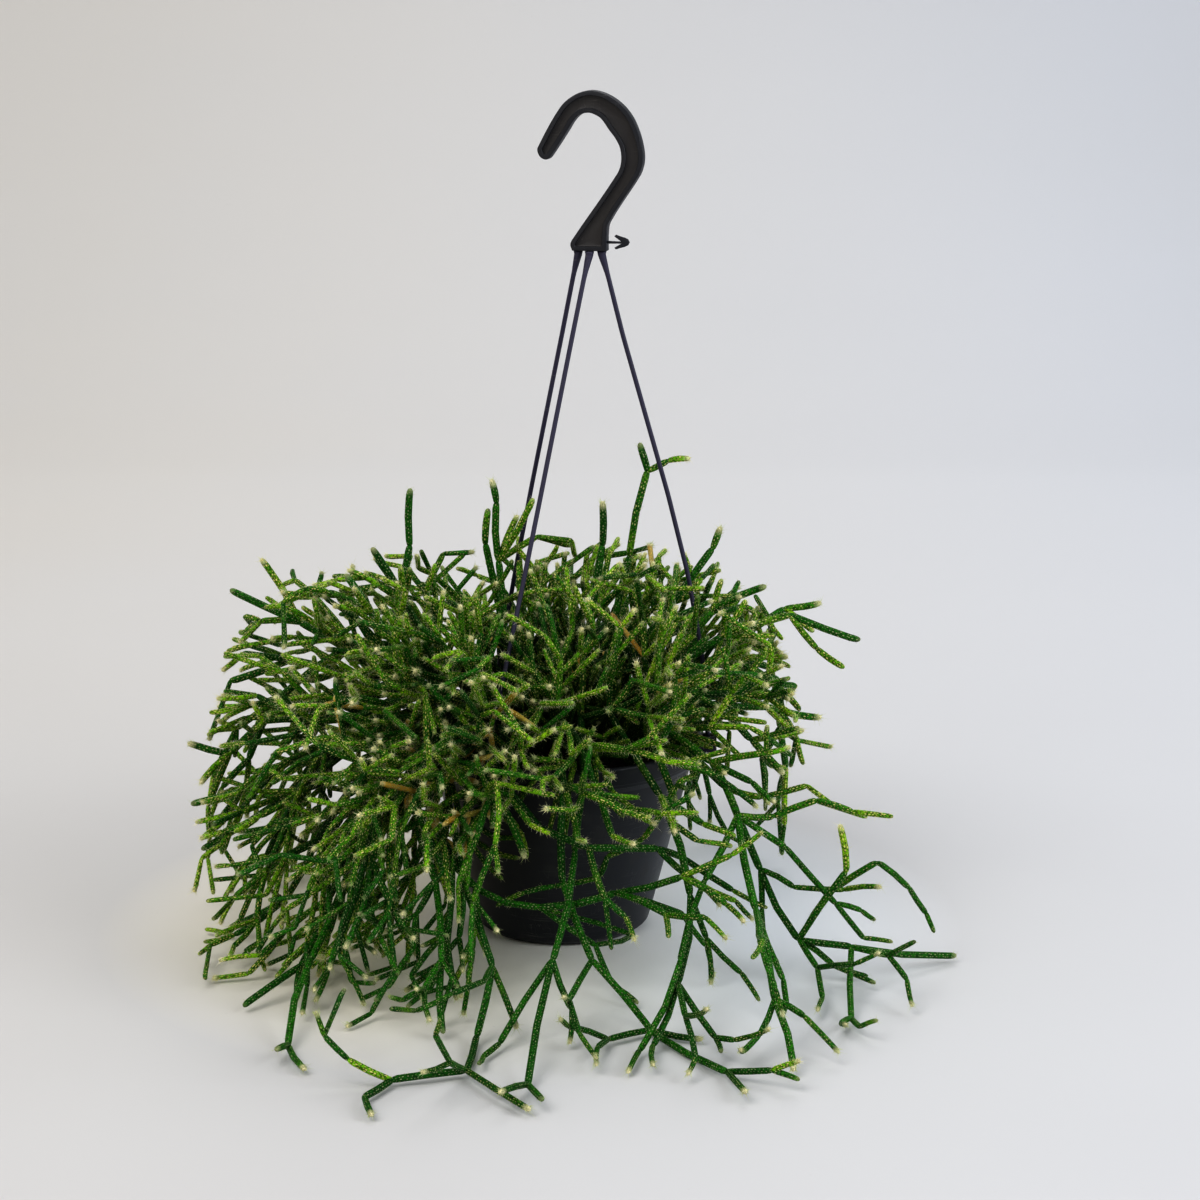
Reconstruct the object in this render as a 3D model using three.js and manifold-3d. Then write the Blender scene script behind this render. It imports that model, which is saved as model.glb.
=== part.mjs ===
// Potted rhipsalis pilocarpa: a bush of forked, slim cylindrical cactus stems in
// a black plastic hanging pot, standing on its base with its hanger upright.
// Millimetres, +Z up. The origin is the centre of the pot's base, on the floor.
import * as THREE from 'three';
import { mergeVertices, mergeGeometries } from 'three/addons/utils/BufferGeometryUtils.js';
import Module from 'manifold-3d';

const wasm = await Module();
wasm.setup();

// Pot
const potHeight = 121;
const rimRadius = 86.5;
const rimBand = 14;
const wall = 2;
const baseRadius = 54;
const floorThickness = 2.5;
const potSides = 28;
// Soil
const soilTop = 106;
const soilGap = 0.35;
const holeDepth = 20;
const holeRadius = 3.9;
// Hanger
const hookBase = [17, 0, 419];
const hookTurn = -0.2;
const hookThickness = 9;
const pocketInset = 2.7;
const pocketDepth = 2.4;
const strandRadius = 1.4;
const lugRadius = 90;
const lugTop = 119;
const lugHeight = 7;
const clipAngles = [0, 120, 240];
// Plant
const plantSeed = 24;
const sprayCount = 54;
const rootDisc = 66;
const stemGap = 0.4;
const stemRadii = [2.3, 2.05, 1.9, 1.75];
const leastFork = 30;

const PI = Math.PI;

// Solids

function toSolid(geometry) {
  const bare = geometry.clone();
  for (const name of Object.keys(bare.attributes)) {
    if (name !== 'position') bare.deleteAttribute(name);
  }
  const merged = mergeVertices(bare, 1e-4);
  return new wasm.Manifold(new wasm.Mesh({
    numProp: 3,
    vertProperties: new Float32Array(merged.attributes.position.array),
    triVerts: new Uint32Array(merged.index.array),
  }));
}

function toGeometry(solid) {
  const mesh = solid.getMesh();
  const geometry = new THREE.BufferGeometry();
  geometry.setAttribute('position', new THREE.BufferAttribute(new Float32Array(mesh.vertProperties), 3));
  geometry.setIndex(new THREE.BufferAttribute(new Uint32Array(mesh.triVerts), 1));
  geometry.computeVertexNormals();
  return geometry;
}

// A closed skin over rings of points, with a fan over the first and last ring.
function skinOverRings(rings) {
  const sides = rings[0].length;
  const positions = rings.flat(2);
  const index = [];
  for (let k = 0; k + 1 < rings.length; k++) {
    for (let i = 0; i < sides; i++) {
      const a = k * sides + i;
      const b = k * sides + (i + 1) % sides;
      index.push(a, b, a + sides, b, b + sides, a + sides);
    }
  }
  const last = (rings.length - 1) * sides;
  for (let i = 1; i + 1 < sides; i++) {
    index.push(0, i + 1, i);
    index.push(last, last + i, last + i + 1);
  }
  const geometry = new THREE.BufferGeometry();
  geometry.setAttribute('position', new THREE.Float32BufferAttribute(positions, 3));
  geometry.setIndex(index);
  return geometry;
}

// A tube along a polyline, with a radius at each point, mitred at the bends.
function tube(points, radii, sides) {
  const path = points.map((p) => new THREE.Vector3(...p));
  const n = path.length;
  const along = [];
  for (let k = 0; k < n; k++) {
    const before = path[Math.max(k - 1, 0)];
    const after = path[Math.min(k + 1, n - 1)];
    const here = path[k];
    const d = new THREE.Vector3();
    if (k > 0) d.add(here.clone().sub(before).normalize());
    if (k < n - 1) d.add(after.clone().sub(here).normalize());
    along.push(d.normalize());
  }
  const side = new THREE.Vector3(0.31, 0.47, 0.83);
  const rings = [];
  for (let k = 0; k < n; k++) {
    side.addScaledVector(along[k], -side.dot(along[k])).normalize();
    const other = along[k].clone().cross(side);
    const ring = [];
    for (let i = 0; i < sides; i++) {
      const t = 2 * PI * i / sides;
      const p = path[k].clone();
      p.addScaledVector(side, radii[k] * Math.cos(t)).addScaledVector(other, radii[k] * Math.sin(t));
      ring.push(p.toArray());
    }
    rings.push(ring);
  }
  return skinOverRings(rings);
}

function material(name, color, roughness) {
  const look = new THREE.MeshStandardMaterial({ color, roughness, metalness: 0 });
  look.name = name;
  return look;
}

const potPlastic = material('pot_plastic', '#1b1d20', 0.45);
const hangerPlastic = material('hanger_plastic', '#1d1e26', 0.4);
const peat = material('peat', '#2b211b', 0.95);
const stemGreen = material('stem_green', '#3d6a2b', 0.6);

const model = new THREE.Group();

function addPiece(name, geometry, look) {
  const mesh = new THREE.Mesh(geometry, look);
  mesh.name = name;
  model.add(mesh);
  return mesh;
}

// Pot: outer wall, from the base up to the rim band; radius at each height
const outerWall = [
  [0, baseRadius - 4], [3, baseRadius], [14, baseRadius + 3],
  [potHeight - rimBand - 8, 79], [potHeight - rimBand, 81],
];

function outerRadius(z) {
  if (z > potHeight - rimBand) return rimRadius;
  for (let k = 1; k < outerWall.length; k++) {
    const [z0, r0] = outerWall[k - 1];
    const [z1, r1] = outerWall[k];
    if (z <= z1) return r0 + (r1 - r0) * (Math.max(z, 0) - z0) / (z1 - z0);
  }
  return rimRadius;
}

function potShell() {
  const bandBottom = potHeight - rimBand;
  const profile = [[0, 0]];
  for (const [z, r] of outerWall) profile.push([r, z]);
  profile.push([rimRadius - 1.5, bandBottom + 0.6]);
  profile.push([rimRadius, potHeight - 1.2], [rimRadius - 1, potHeight]);
  profile.push([rimRadius - wall - 0.8, potHeight], [rimRadius - wall - 2, bandBottom]);
  profile.push([79 - wall, bandBottom - 8]);
  profile.push([baseRadius + 3 - wall, 14], [baseRadius - wall, floorThickness + 1.5]);
  profile.push([baseRadius - wall - 3, floorThickness], [0, floorThickness]);
  const points = profile.map(([r, z]) => new THREE.Vector2(r, z));
  const shell = new THREE.LatheGeometry(points, potSides);
  shell.rotateX(PI / 2);
  return shell;
}

// A lug under the rim's edge at each clip place, with an upright slot for a strand.
function lugs() {
  const pieces = [];
  const slots = [];
  for (const degrees of clipAngles) {
    const turn = new THREE.Matrix4().makeRotationZ(degrees * PI / 180);
    const lug = new THREE.BoxGeometry(13, 13, lugHeight);
    lug.translate(lugRadius - 1, 0, lugTop - lugHeight / 2).applyMatrix4(turn);
    const slot = new THREE.BoxGeometry(6.6, 4.2, lugHeight + 4);
    slot.translate(lugRadius + 0.6, 0, lugTop - lugHeight / 2).applyMatrix4(turn);
    pieces.push(toSolid(lug));
    slots.push(toSolid(slot));
  }
  return { pieces, slots };
}

function drainHoles() {
  const holes = [];
  for (let k = 0; k < 4; k++) {
    const hole = new THREE.CylinderGeometry(4, 4, floorThickness * 4, 10);
    hole.rotateX(PI / 2).translate(34 * Math.cos(k * PI / 2 + 0.6), 34 * Math.sin(k * PI / 2 + 0.6), 0);
    holes.push(toSolid(hole));
  }
  return holes;
}

let pot = toSolid(potShell());
const inside = toSolid(new THREE.CylinderGeometry(rimRadius - wall - 1.4, rimRadius - wall - 1.4, 60, potSides)
  .rotateX(PI / 2).translate(0, 0, potHeight + 4));
const clip = lugs();
for (const piece of clip.pieces) pot = pot.add(piece.subtract(inside));
for (const cut of [...clip.slots, ...drainHoles()]) pot = pot.subtract(cut);
addPiece('pot', toGeometry(pot), potPlastic);

// Hanger's hook: outline from the tip over the top, down the shank and back up inside
const hookOutline = [
  [-30.2, 60.6], [-16.6, 84.1], [-8.3, 91.2], [1.2, 94.1], [11.2, 91.8], [20.1, 85.9],
  [26, 78.8], [29.6, 71.2], [32, 63.5], [33.1, 55.9], [32.5, 50], [30.2, 44.1],
  [12.4, 16.5], [11.2, 8.8], [11.2, 0], [-9.5, 0], [-10.6, 3.5], [-9.5, 6.5],
  [17.8, 45.9], [20.1, 52.9], [19.5, 60.6], [16.6, 66.5], [13, 71.2], [8.3, 77.6],
  [4.7, 80], [0.6, 81.2], [-4.7, 80], [-8.9, 75.9], [-11.8, 71.2], [-22.5, 55.3],
  [-24.9, 53.5], [-28.4, 54.7], [-30.2, 57.6],
];

function insetOutline(outline, distance) {
  const n = outline.length;
  return outline.map((p, k) => {
    const a = outline[(k + n - 1) % n];
    const b = outline[(k + 1) % n];
    const d1 = new THREE.Vector2(p[0] - a[0], p[1] - a[1]).normalize();
    const d2 = new THREE.Vector2(b[0] - p[0], b[1] - p[1]).normalize();
    const normal = new THREE.Vector2(d1.y + d2.y, -d1.x - d2.x).normalize();
    const stretch = distance / Math.max(0.6, normal.dot(new THREE.Vector2(d1.y, -d1.x)));
    return [p[0] + normal.x * stretch, p[1] + normal.y * stretch];
  });
}

function plate(outline, thickness, centreY) {
  const shape = new THREE.Shape(outline.map(([x, z]) => new THREE.Vector2(x, z)));
  const solid = new THREE.ExtrudeGeometry(shape, { depth: thickness, bevelEnabled: false });
  return solid.rotateX(PI / 2).translate(0, centreY + thickness / 2, 0);
}

const barbOutline = [
  [10, 5.9], [19.6, 5.6], [15.4, 8.6], [16.4, 9.6], [24.6, 5.2],
  [16.4, 0.9], [15.4, 1.9], [19.6, 4.4], [10, 4.2],
];

let hook = toSolid(plate(hookOutline, hookThickness, 0));
const pocket = insetOutline(hookOutline, pocketInset);
for (const face of [-1, 1]) {
  const y = face * (hookThickness / 2);
  hook = hook.subtract(toSolid(plate(pocket, pocketDepth * 2, y)));
}
hook = hook.add(toSolid(plate(barbOutline, 1.6, 0)));
const hookMesh = addPiece('hanger_hook', toGeometry(hook), hangerPlastic);
hookMesh.rotation.z = hookTurn;
hookMesh.position.set(...hookBase);

// Hanger's strands: from the hook's base, with a tapered root, through a rim lug
// to a foot under it. Each is bowed out a little by the plant it passes.
const strandBow = [9, 3, -2];
const strandTops = [[7.6, -1.5], [-6.5, 2], [0.2, -2.6]];

function strandLine(k) {
  const angle = clipAngles[k] * PI / 180;
  const top = [hookBase[0] + strandTops[k][0], hookBase[1] + strandTops[k][1], hookBase[2] - 0.35];
  const end = [lugRadius * Math.cos(angle), lugRadius * Math.sin(angle), lugTop + 4];
  const points = [];
  for (let i = 0; i <= 6; i++) {
    const t = i / 6;
    const bow = strandBow[k] * 6.75 * t * t * (1 - t);
    points.push([
      top[0] + (end[0] - top[0]) * t + bow * Math.cos(angle),
      top[1] + (end[1] - top[1]) * t + bow * Math.sin(angle),
      top[2] + (end[2] - top[2]) * t,
    ]);
  }
  return points;
}

clipAngles.forEach((degrees, k) => {
  const angle = degrees * PI / 180;
  const line = strandLine(k);
  const [x, y, z] = line[0];
  const next = line[1];
  const root = [0, 1, 2].map((i) => line[0][i] + (next[i] - line[0][i]) * 0.28);
  const under = lugTop - lugHeight - 0.4;
  const foot = [(lugRadius + 1.2) * Math.cos(angle), (lugRadius + 1.2) * Math.sin(angle), under - 2];
  const points = [[x, y, z], [x, y, z - 2], root, ...line.slice(1), foot];
  const radii = points.map((p, i) => (i < 2 ? strandRadius * (2 - 0.3 * i) : strandRadius));
  const rod = toSolid(tube(points, radii, 8));
  const block = new THREE.BoxGeometry(9, 8, 3).translate(lugRadius + 1.2, 0, under - 1.5);
  block.applyMatrix4(new THREE.Matrix4().makeRotationZ(angle));
  addPiece(`hanger_strand_${k + 1}`, toGeometry(rod.add(toSolid(block))), hangerPlastic);
});

// Plant: centre lines of the stems, grown by a seeded rule

function seededRandom(seed) {
  let state = seed >>> 0;
  return () => {
    state = (state + 0x6d2b79f5) >>> 0;
    let t = Math.imul(state ^ (state >>> 15), state | 1);
    t ^= t + Math.imul(t ^ (t >>> 7), t | 61);
    return ((t ^ (t >>> 14)) >>> 0) / 4294967296;
  };
}

const random = seededRandom(plantSeed);
const between = (low, high) => low + (high - low) * random();
const length = (v) => Math.sqrt(v[0] * v[0] + v[1] * v[1] + v[2] * v[2]);
const minus = (a, b) => [a[0] - b[0], a[1] - b[1], a[2] - b[2]];
const ahead = (a, d, s) => [a[0] + d[0] * s, a[1] + d[1] * s, a[2] + d[2] * s];
const dot = (a, b) => a[0] * b[0] + a[1] * b[1] + a[2] * b[2];

function unit(v) {
  const l = length(v);
  return [v[0] / l, v[1] / l, v[2] / l];
}

// The least distance between the segments a-b and c-d.
function segmentGap(a, b, c, d) {
  const u = minus(b, a);
  const v = minus(d, c);
  const w = minus(a, c);
  const uu = dot(u, u);
  const vv = dot(v, v);
  const uv = dot(u, v);
  const uw = dot(u, w);
  const vw = dot(v, w);
  const det = uu * vv - uv * uv;
  let s = det > 1e-9 ? (uv * vw - vv * uw) / det : 0;
  s = Math.min(1, Math.max(0, s));
  let t = (uv * s + vw) / vv;
  if (t < 0 || t > 1) {
    t = Math.min(1, Math.max(0, t));
    if (uu > 0) s = Math.min(1, Math.max(0, (uv * t - uw) / uu));
  }
  return length(minus(ahead(a, u, s), ahead(c, v, t)));
}

// Everything placed so far: { a, b, reach, from, to } with joint numbers.
const placed = [];
let joints = 0;

for (let k = 0; k < 3; k++) {
  const line = strandLine(k);
  for (let i = 0; i + 1 < line.length; i++) {
    placed.push({ a: line[i], b: line[i + 1], reach: strandRadius + 0.3, from: -1, to: -1 });
  }
  const angle = clipAngles[k] * PI / 180;
  const inner = [84 * Math.cos(angle), 84 * Math.sin(angle), lugTop - 6];
  const outer = [91 * Math.cos(angle), 91 * Math.sin(angle), lugTop - 6];
  placed.push({ a: inner, b: outer, reach: 8.5, from: -1, to: -1 });
}

// True where a stem may pass: above the floor and clear of the pot and the soil.
function pointIsFree(p, reach) {
  const r = Math.sqrt(p[0] * p[0] + p[1] * p[1]);
  if (p[2] < reach + 0.5) return false;
  if (p[2] > potHeight + reach + 0.8) return true;
  if (r > outerRadius(p[2] + reach) + reach + 1.2 && r > outerRadius(p[2]) + reach + 1.2) return true;
  return r < rimRadius - 6 - reach && p[2] > soilTop + reach + 1;
}

// A new stretch keeps clear of all others, and turns well away from its joint's.
function segmentIsFree(a, b, reach, joint) {
  if (b[0] < -238 || b[0] > 243 || b[1] < -322 || b[1] > 185) return false;
  const steps = Math.ceil(length(minus(b, a)) / 4);
  for (let i = 1; i <= steps; i++) {
    if (!pointIsFree(ahead(a, minus(b, a), i / steps), reach)) return false;
  }
  const way = unit(minus(b, a));
  const closest = Math.cos(leastFork * PI / 180);
  for (const other of placed) {
    const near = other.reach + reach + stemGap;
    if (other.from >= 0 && (other.from === joint || other.to === joint)) {
      const sign = other.from === joint ? 1 : -1;
      if (sign * dot(unit(minus(other.b, other.a)), way) > closest) return false;
      if (segmentGap(b, b, other.a, other.b) < near + 2) return false;
    } else if (segmentGap(a, b, other.a, other.b) < near) {
      return false;
    }
  }
  return true;
}

// The bush's outline for the stems grown by rule: a flat dome over the pot, thick
// on the left down to the floor, open in front of the pot and low on the right.
function insideBush(p) {
  const [x, y, z] = p;
  const u = (x + 18) / (x < -18 ? 205 : 168);
  const v = (y - 5) / (y < 5 ? 175 : 165);
  const room = 1 - u * u * u * u - v * v * v * v;
  if (room <= 0) return false;
  if (z > 112 + 120 * Math.sqrt(room)) return false;
  if (z < 98 && x > -50 && x < 62 && y < -40) return false;
  return !(z < 100 && x > 60 && y < 70);
}

// How far the trailing stems reach below the rim: an oval on the floor.
function insideTrail(p) {
  const u = (p[0] - 5) / 228;
  const v = (p[1] + 70) / 258;
  if (p[2] > 32 && p[0] > -46 && p[0] < 64 && p[1] > -165) return false;
  return p[2] < 104 && u * u + v * v < 1;
}

// Joints of a line are numbered so that its branches know what they grow from.
function addLine(spray, points, order, joint) {
  const radius = stemRadii[order];
  const reach = radius * 1.16;
  const numbers = [joint >= 0 ? joint : joints++];
  for (let i = 0; i + 1 < points.length; i++) {
    numbers.push(joints++);
    placed.push({ a: points[i], b: points[i + 1], reach, from: numbers[i], to: numbers[i + 1] });
  }
  const line = { points, radius, order, numbers };
  spray.lines.push(line);
  return line;
}

function turned(direction, angle, around) {
  const helper = Math.abs(direction[2]) < 0.9 ? [0, 0, 1] : [1, 0, 0];
  const side = unit([
    direction[1] * helper[2] - direction[2] * helper[1],
    direction[2] * helper[0] - direction[0] * helper[2],
    direction[0] * helper[1] - direction[1] * helper[0],
  ]);
  const other = [
    direction[1] * side[2] - direction[2] * side[1],
    direction[2] * side[0] - direction[0] * side[2],
    direction[0] * side[1] - direction[1] * side[0],
  ];
  const c = Math.cos(around) * Math.sin(angle);
  const s = Math.sin(around) * Math.sin(angle);
  return unit(ahead(ahead(ahead([0, 0, 0], direction, Math.cos(angle)), side, c), other, s));
}

// Shoots placed by hand: points of the main stem after it leaves the soil.
const shoots = [
  [[-85, 10, 161], [-98, 15, 202], [-94, 20, 235], [-93, 20, 271]],
  [[-36, 35, 171], [-40, 40, 221], [-41, 40, 258], [-44, 40, 273]],
  [[-37, 62, 165], [-49, 62, 227], [-47, 62, 250]],
  [[-75, -2, 161], [-96, 3, 204], [-116, 0, 238]],
  [[-87, -18, 158], [-115, -22, 203], [-131, -16, 225]],
  [[-90, 12, 145], [-131, 15, 168], [-163, 20, 186], [-206, 20, 207]],
  [[31, 30, 172], [42, 40, 224], [53, 45, 277], [48, 45, 295]],
  [[18, 15, 189], [25, 20, 235], [25, 20, 263]],
  [[48, 10, 171], [79, 15, 214], [93, 20, 233], [98, 20, 247]],
  [[57, -3, 161], [102, 3, 190], [126, 8, 212]],
  [[54, -14, 151], [98, -8, 184], [140, -2, 196], [184, 3, 179]],
  [[55, 34, 150], [109, 40, 170], [140, 45, 189], [163, 45, 193]],
  [[56, -26, 147], [106, -20, 151], [133, -14, 139], [160, -10, 133]],
  [[60, 17, 142], [104, 22, 162], [133, 22, 146], [139, 20, 118], [148, 20, 110]],
  [[55, -42, 145], [97, -45, 150], [115, -45, 129], [135, -45, 107]],
  [[53, -60, 145], [89, -90, 128], [104, -105, 100], [112, -165, 63], [120, -215, 28], [128, -260, 4]],
  [[66, -44, 134], [99, -62, 104], [119, -85, 60], [141, -110, 25], [171, -120, 24], [238, -80, 4]],
  [[-5, -62, 140], [-4, -104, 112], [2, -130, 67], [19, -180, 38], [52, -200, 4], [92, -260, 4]],
  [[12, -58, 146], [14, -104, 118], [9, -124, 84], [-3, -190, 42], [-15, -278, 4]],
  [[-56, -58, 142], [-66, -92, 105], [-56, -128, 67], [-37, -190, 38], [-45, -212, 5],
    [-49, -258, 4], [-88, -272, 4], [-101, -294, 4]],
  [[-48, -66, 146], [-82, -84, 108], [-72, -132, 69], [-66, -180, 38], [-64, -206, 4]],
  [[-75, -50, 145], [-109, -62, 102], [-127, -100, 59], [-143, -150, 27], [-149, -222, 4]],
  [[-66, -42, 142], [-114, -44, 96], [-137, -88, 44], [-151, -132, 17], [-181, -164, 4]],
  [[-84, -30, 140], [-117, -28, 108], [-148, -50, 67], [-168, -60, 32], [-206, -32, 4]],
  [[-80, -8, 145], [-124, -12, 119], [-167, -22, 88], [-221, -35, 56]],
  [[-78, 4, 148], [-125, 2, 129], [-168, -8, 106], [-198, -18, 88], [-228, -25, 82]],
  [[-72, 18, 150], [-119, 12, 142], [-168, 8, 138], [-206, -2, 108], [-232, -4, 115]],
  [[-74, 30, 152], [-120, 28, 150], [-170, 28, 160], [-208, 26, 147]],
  [[-40, -60, 150], [-65, -80, 136], [-38, -115, 118], [-20, -125, 80]],
  [[-20, -55, 144], [-41, -88, 134], [-11, -118, 96], [22, -128, 80], [57, -125, 86]],
  [[-70, -66, 140], [-78, -100, 96], [-46, -122, 62], [-11, -135, 54], [33, -136, 64]],
  [[29, -62, 150], [59, -106, 112], [75, -148, 66], [67, -198, 31]],
  [[-60, -50, 165], [-96, -66, 155], [-107, -95, 128], [-108, -132, 81], [-122, -165, 39]],
  [[-30, -58, 140], [-38, -94, 132], [-44, -108, 104]],
  [[5, -60, 142], [14, -94, 136], [20, -108, 114]],
  [[40, -52, 140], [56, -84, 134], [68, -98, 106]],
  [[-52, -48, 148], [-78, -74, 138], [-92, -90, 110], [-94, -98, 82]],
  [[-78, -22, 150], [-128, -34, 138], [-160, -46, 96], [-178, -58, 52]],
  [[-74, 44, 150], [-118, 62, 134], [-148, 72, 92], [-160, 80, 48], [-170, 92, 6]],
  [[-76, 16, 168], [-132, 18, 172], [-176, 22, 138], [-198, 26, 96]],
  [[-58, -62, 150], [-92, -98, 128], [-112, -122, 84], [-126, -142, 40]],
  [[-64, -82, 142], [-36, -106, 119], [-23, -112, 94], [-19, -114, 74]],
  [[-76, -80, 150], [-79, -108, 116], [-70, -120, 65], [-66, -140, 23]],
  [[-50, -80, 134], [-53, -104, 97], [-42, -120, 53], [-12, -170, 27]],
  [[0, -86, 130], [14, -104, 97], [4, -112, 63]],
];

// Branches placed by hand: [shoot, joint, ...points]
const handForks = [
  [1, 1, [-51, 43, 238], [-48, 45, 262]], [1, 2, [-32, 42, 271]], [1, 2, [-30, 36, 262]],
  [1, 2, [-31, 44, 251]],
  [5, 3, [-196, 26, 216]], [6, 3, [66, 48, 283], [80, 50, 284]],
  [10, 3, [158, 0, 174], [174, -4, 163]], [11, 3, [158, 36, 176]],
  [15, 3, [84, -140, 72], [64, -195, 38], [45, -231, 4]],
  [15, 3, [97, -150, 60], [100, -192, 34], [92, -214, 6]],
  [15, 3, [132, -110, 82], [162, -112, 48]],
  [15, 3, [126, -94, 96], [151, -95, 106]],
  [15, 3, [136, -134, 66], [150, -152, 42], [144, -179, 6]],
  [16, 4, [166, -128, 73], [162, -128, 102]], [16, 5, [166, -182, 4]],
  [16, 4, [160, -96, 50], [186, -108, 72], [206, -100, 54]],
  [17, 5, [28, -214, 4]], [18, 4, [-32, -222, 5]], [19, 6, [-13, -312, 4]], [19, 8, [-95, -319, 4]],
];

const golden = PI * (3 - Math.sqrt(5));
const rootPlaces = [];
for (let k = 0; k < sprayCount; k++) {
  const r = rootDisc * Math.sqrt((k + 0.5) / sprayCount);
  rootPlaces.push([r * Math.cos(k * golden), r * Math.sin(k * golden)]);
}
const freeRoots = rootPlaces.map((p, k) => k);

// The free roots, nearest first to the place where the shoot wants to start.
function rootsNear(x, y) {
  const gap = (k) => Math.hypot(rootPlaces[k][0] - x, rootPlaces[k][1] - y);
  return freeRoots.slice().sort((a, b) => gap(a) - gap(b)).slice(0, 16);
}

const sprays = [];

function startSpray(x, y) {
  const spray = { lines: [], root: [x, y] };
  sprays.push(spray);
  return spray;
}

// Adds points one by one, each shifted a little where the way isn't free.
function growThrough(start, targets, order, joint) {
  const reach = stemRadii[order] * 1.16;
  const points = start.slice();
  for (const target of targets) {
    const from = points[points.length - 1];
    const near = points.length === 1 ? joint : -2;
    let found = null;
    for (let attempt = 0; attempt < 40 && !found; attempt++) {
      const loose = attempt * 0.55;
      const shift = [between(-loose, loose), between(-loose, loose), between(-loose, loose)];
      const to = [target[0] + shift[0], target[1] + shift[1], Math.max(target[2] + shift[2], reach + 0.6)];
      if (segmentIsFree(from, to, reach, near)) found = to;
    }
    if (!found) break;
    points.push(found);
  }
  return points;
}

for (const shoot of shoots) {
  const first = shoot[0];
  let root = -1;
  let points = [];
  for (const candidate of rootsNear(first[0] * 0.65, first[1] * 0.65)) {
    const [x, y] = rootPlaces[candidate];
    const start = [[x, y, soilTop - holeDepth + 0.6], [x, y, soilTop + 7]];
    const grown = growThrough(start, shoot, 0, -1);
    if (grown.length > points.length) {
      root = candidate;
      points = grown;
    }
    if (points.length === shoot.length + 2) break;
  }
  freeRoots.splice(freeRoots.indexOf(root), 1);
  const spray = startSpray(...rootPlaces[root]);
  addLine(spray, points, 0, -1);
}

for (const [k, j, ...targets] of handForks) {
  const main = sprays[k].lines[0];
  if (j + 1 >= main.points.length) continue;
  const at = main.points[j + 1];
  const points = growThrough([at], targets, 1, main.numbers[j + 1]);
  if (points.length > 1) addLine(sprays[k], points, 1, main.numbers[j + 1]);
}

// Main stems grown by rule from the roots that are left.
while (freeRoots.length) {
  const root = rootPlaces[freeRoots.shift()];
  const spray = startSpray(...root);
  const out = Math.hypot(root[0], root[1]) / rootDisc;
  const heading = Math.atan2(root[1], root[0]) + between(-0.3, 0.3);
  let rise = 1.45 - 0.75 * out + between(-0.1, 0.1);
  const fall = 0.12 + 0.42 * out;
  const count = Math.round(3 + 3 * out + between(-0.5, 0.9));
  const points = [[root[0], root[1], soilTop - holeDepth + 0.6], [root[0], root[1], soilTop + 7]];
  let turn = heading;
  for (let i = 0; i < count; i++) {
    const from = points[points.length - 1];
    let found = null;
    for (let attempt = 0; attempt < 16 && !found; attempt++) {
      const wobble = 0.12 + attempt * 0.06;
      const e = rise + between(-wobble, wobble);
      const a = turn + between(-wobble, wobble);
      const span = between(30, 44);
      const to = ahead(from, [Math.cos(e) * Math.cos(a), Math.cos(e) * Math.sin(a), Math.sin(e)], span);
      if (insideBush(to) && segmentIsFree(from, to, stemRadii[0] * 1.16, -2)) {
        found = to;
        turn = a;
      }
    }
    if (!found) break;
    points.push(found);
    rise -= fall * between(0.7, 1.3);
  }
  addLine(spray, points, 0, -1);
}

// Up and out in the dome, out and down below it, flat along the floor.
function leaning(at, inDome) {
  if (inDome) return ahead([0, 0, 0], unit([at[0] + 15, at[1], at[2] - 85]), 0.35);
  const out = unit([at[0], at[1], 0]);
  return [out[0] * 0.3, out[1] * 0.3, at[2] > 30 ? -0.22 : 0];
}

// Side branches: whorls at the joints of the mains, then at the branches' tips.
function addBranches(order, tries, spans, wantedAt) {
  const reach = stemRadii[order] * 1.16;
  const lines = [];
  for (const spray of sprays) {
    for (const line of spray.lines) {
      if (line.order === order - 1) lines.push([spray, line]);
    }
  }
  for (const [spray, line] of lines) {
    const n = line.points.length;
    for (let j = 1; j < n; j++) {
      const atTip = j === n - 1;
      if (!atTip && order > 1) continue;
      const at = line.points[j];
      const inDome = at[2] > 118 && Math.abs(at[0]) < 150;
      if (at[2] < 9 && random() < 0.3) continue;
      const along = unit(minus(at, line.points[j - 1]));
      const lean = leaning(at, inDome);
      const wanted = wantedAt(atTip, inDome);
      let made = 0;
      for (let attempt = 0; attempt < tries && made < wanted; attempt++) {
        const angle = between(atTip ? 0.35 : 0.5, inDome ? 1.1 : 0.85);
        const way = unit(ahead(turned(along, angle, between(0, 2 * PI)), lean, 1));
        const to = ahead(at, way, between(spans[0], spans[1]) * (inDome ? 0.92 : 1));
        const inRegion = insideBush(to) || (!insideBush(at) && insideTrail(to));
        if (!inRegion || to[2] < reach + 0.6) continue;
        if (!segmentIsFree(at, to, reach, line.numbers[j])) continue;
        addLine(spray, [at, to], order, line.numbers[j]);
        made++;
      }
    }
  }
}

addBranches(1, 24, [22, 44], (atTip, inDome) => (atTip ? 3 : (inDome || random() < 0.6 ? 2 : 1)));
addBranches(2, 22, [16, 36], (atTip, inDome) => (random() < (inDome ? 0.6 : 0.8) ? 2 : 1));
addBranches(3, 20, [12, 26], (atTip, inDome) => (random() < (inDome ? 0.6 : 0.7) ? 1 : 0));

// Soil: fills the pot to below the rim, with a plain hole for each stem
function soilBody() {
  const bandBottom = potHeight - rimBand;
  const profile = [
    [0, floorThickness + soilGap], [baseRadius - wall - 3.6, floorThickness + soilGap],
    [baseRadius + 3 - wall - 0.7, 14.2], [79 - wall - 0.6, bandBottom - 8.2],
    [79 - wall + 1.2, soilTop], [0, soilTop],
  ];
  const body = new THREE.LatheGeometry(profile.map(([r, z]) => new THREE.Vector2(r, z)), potSides);
  return toSolid(body.rotateX(PI / 2));
}

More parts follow.
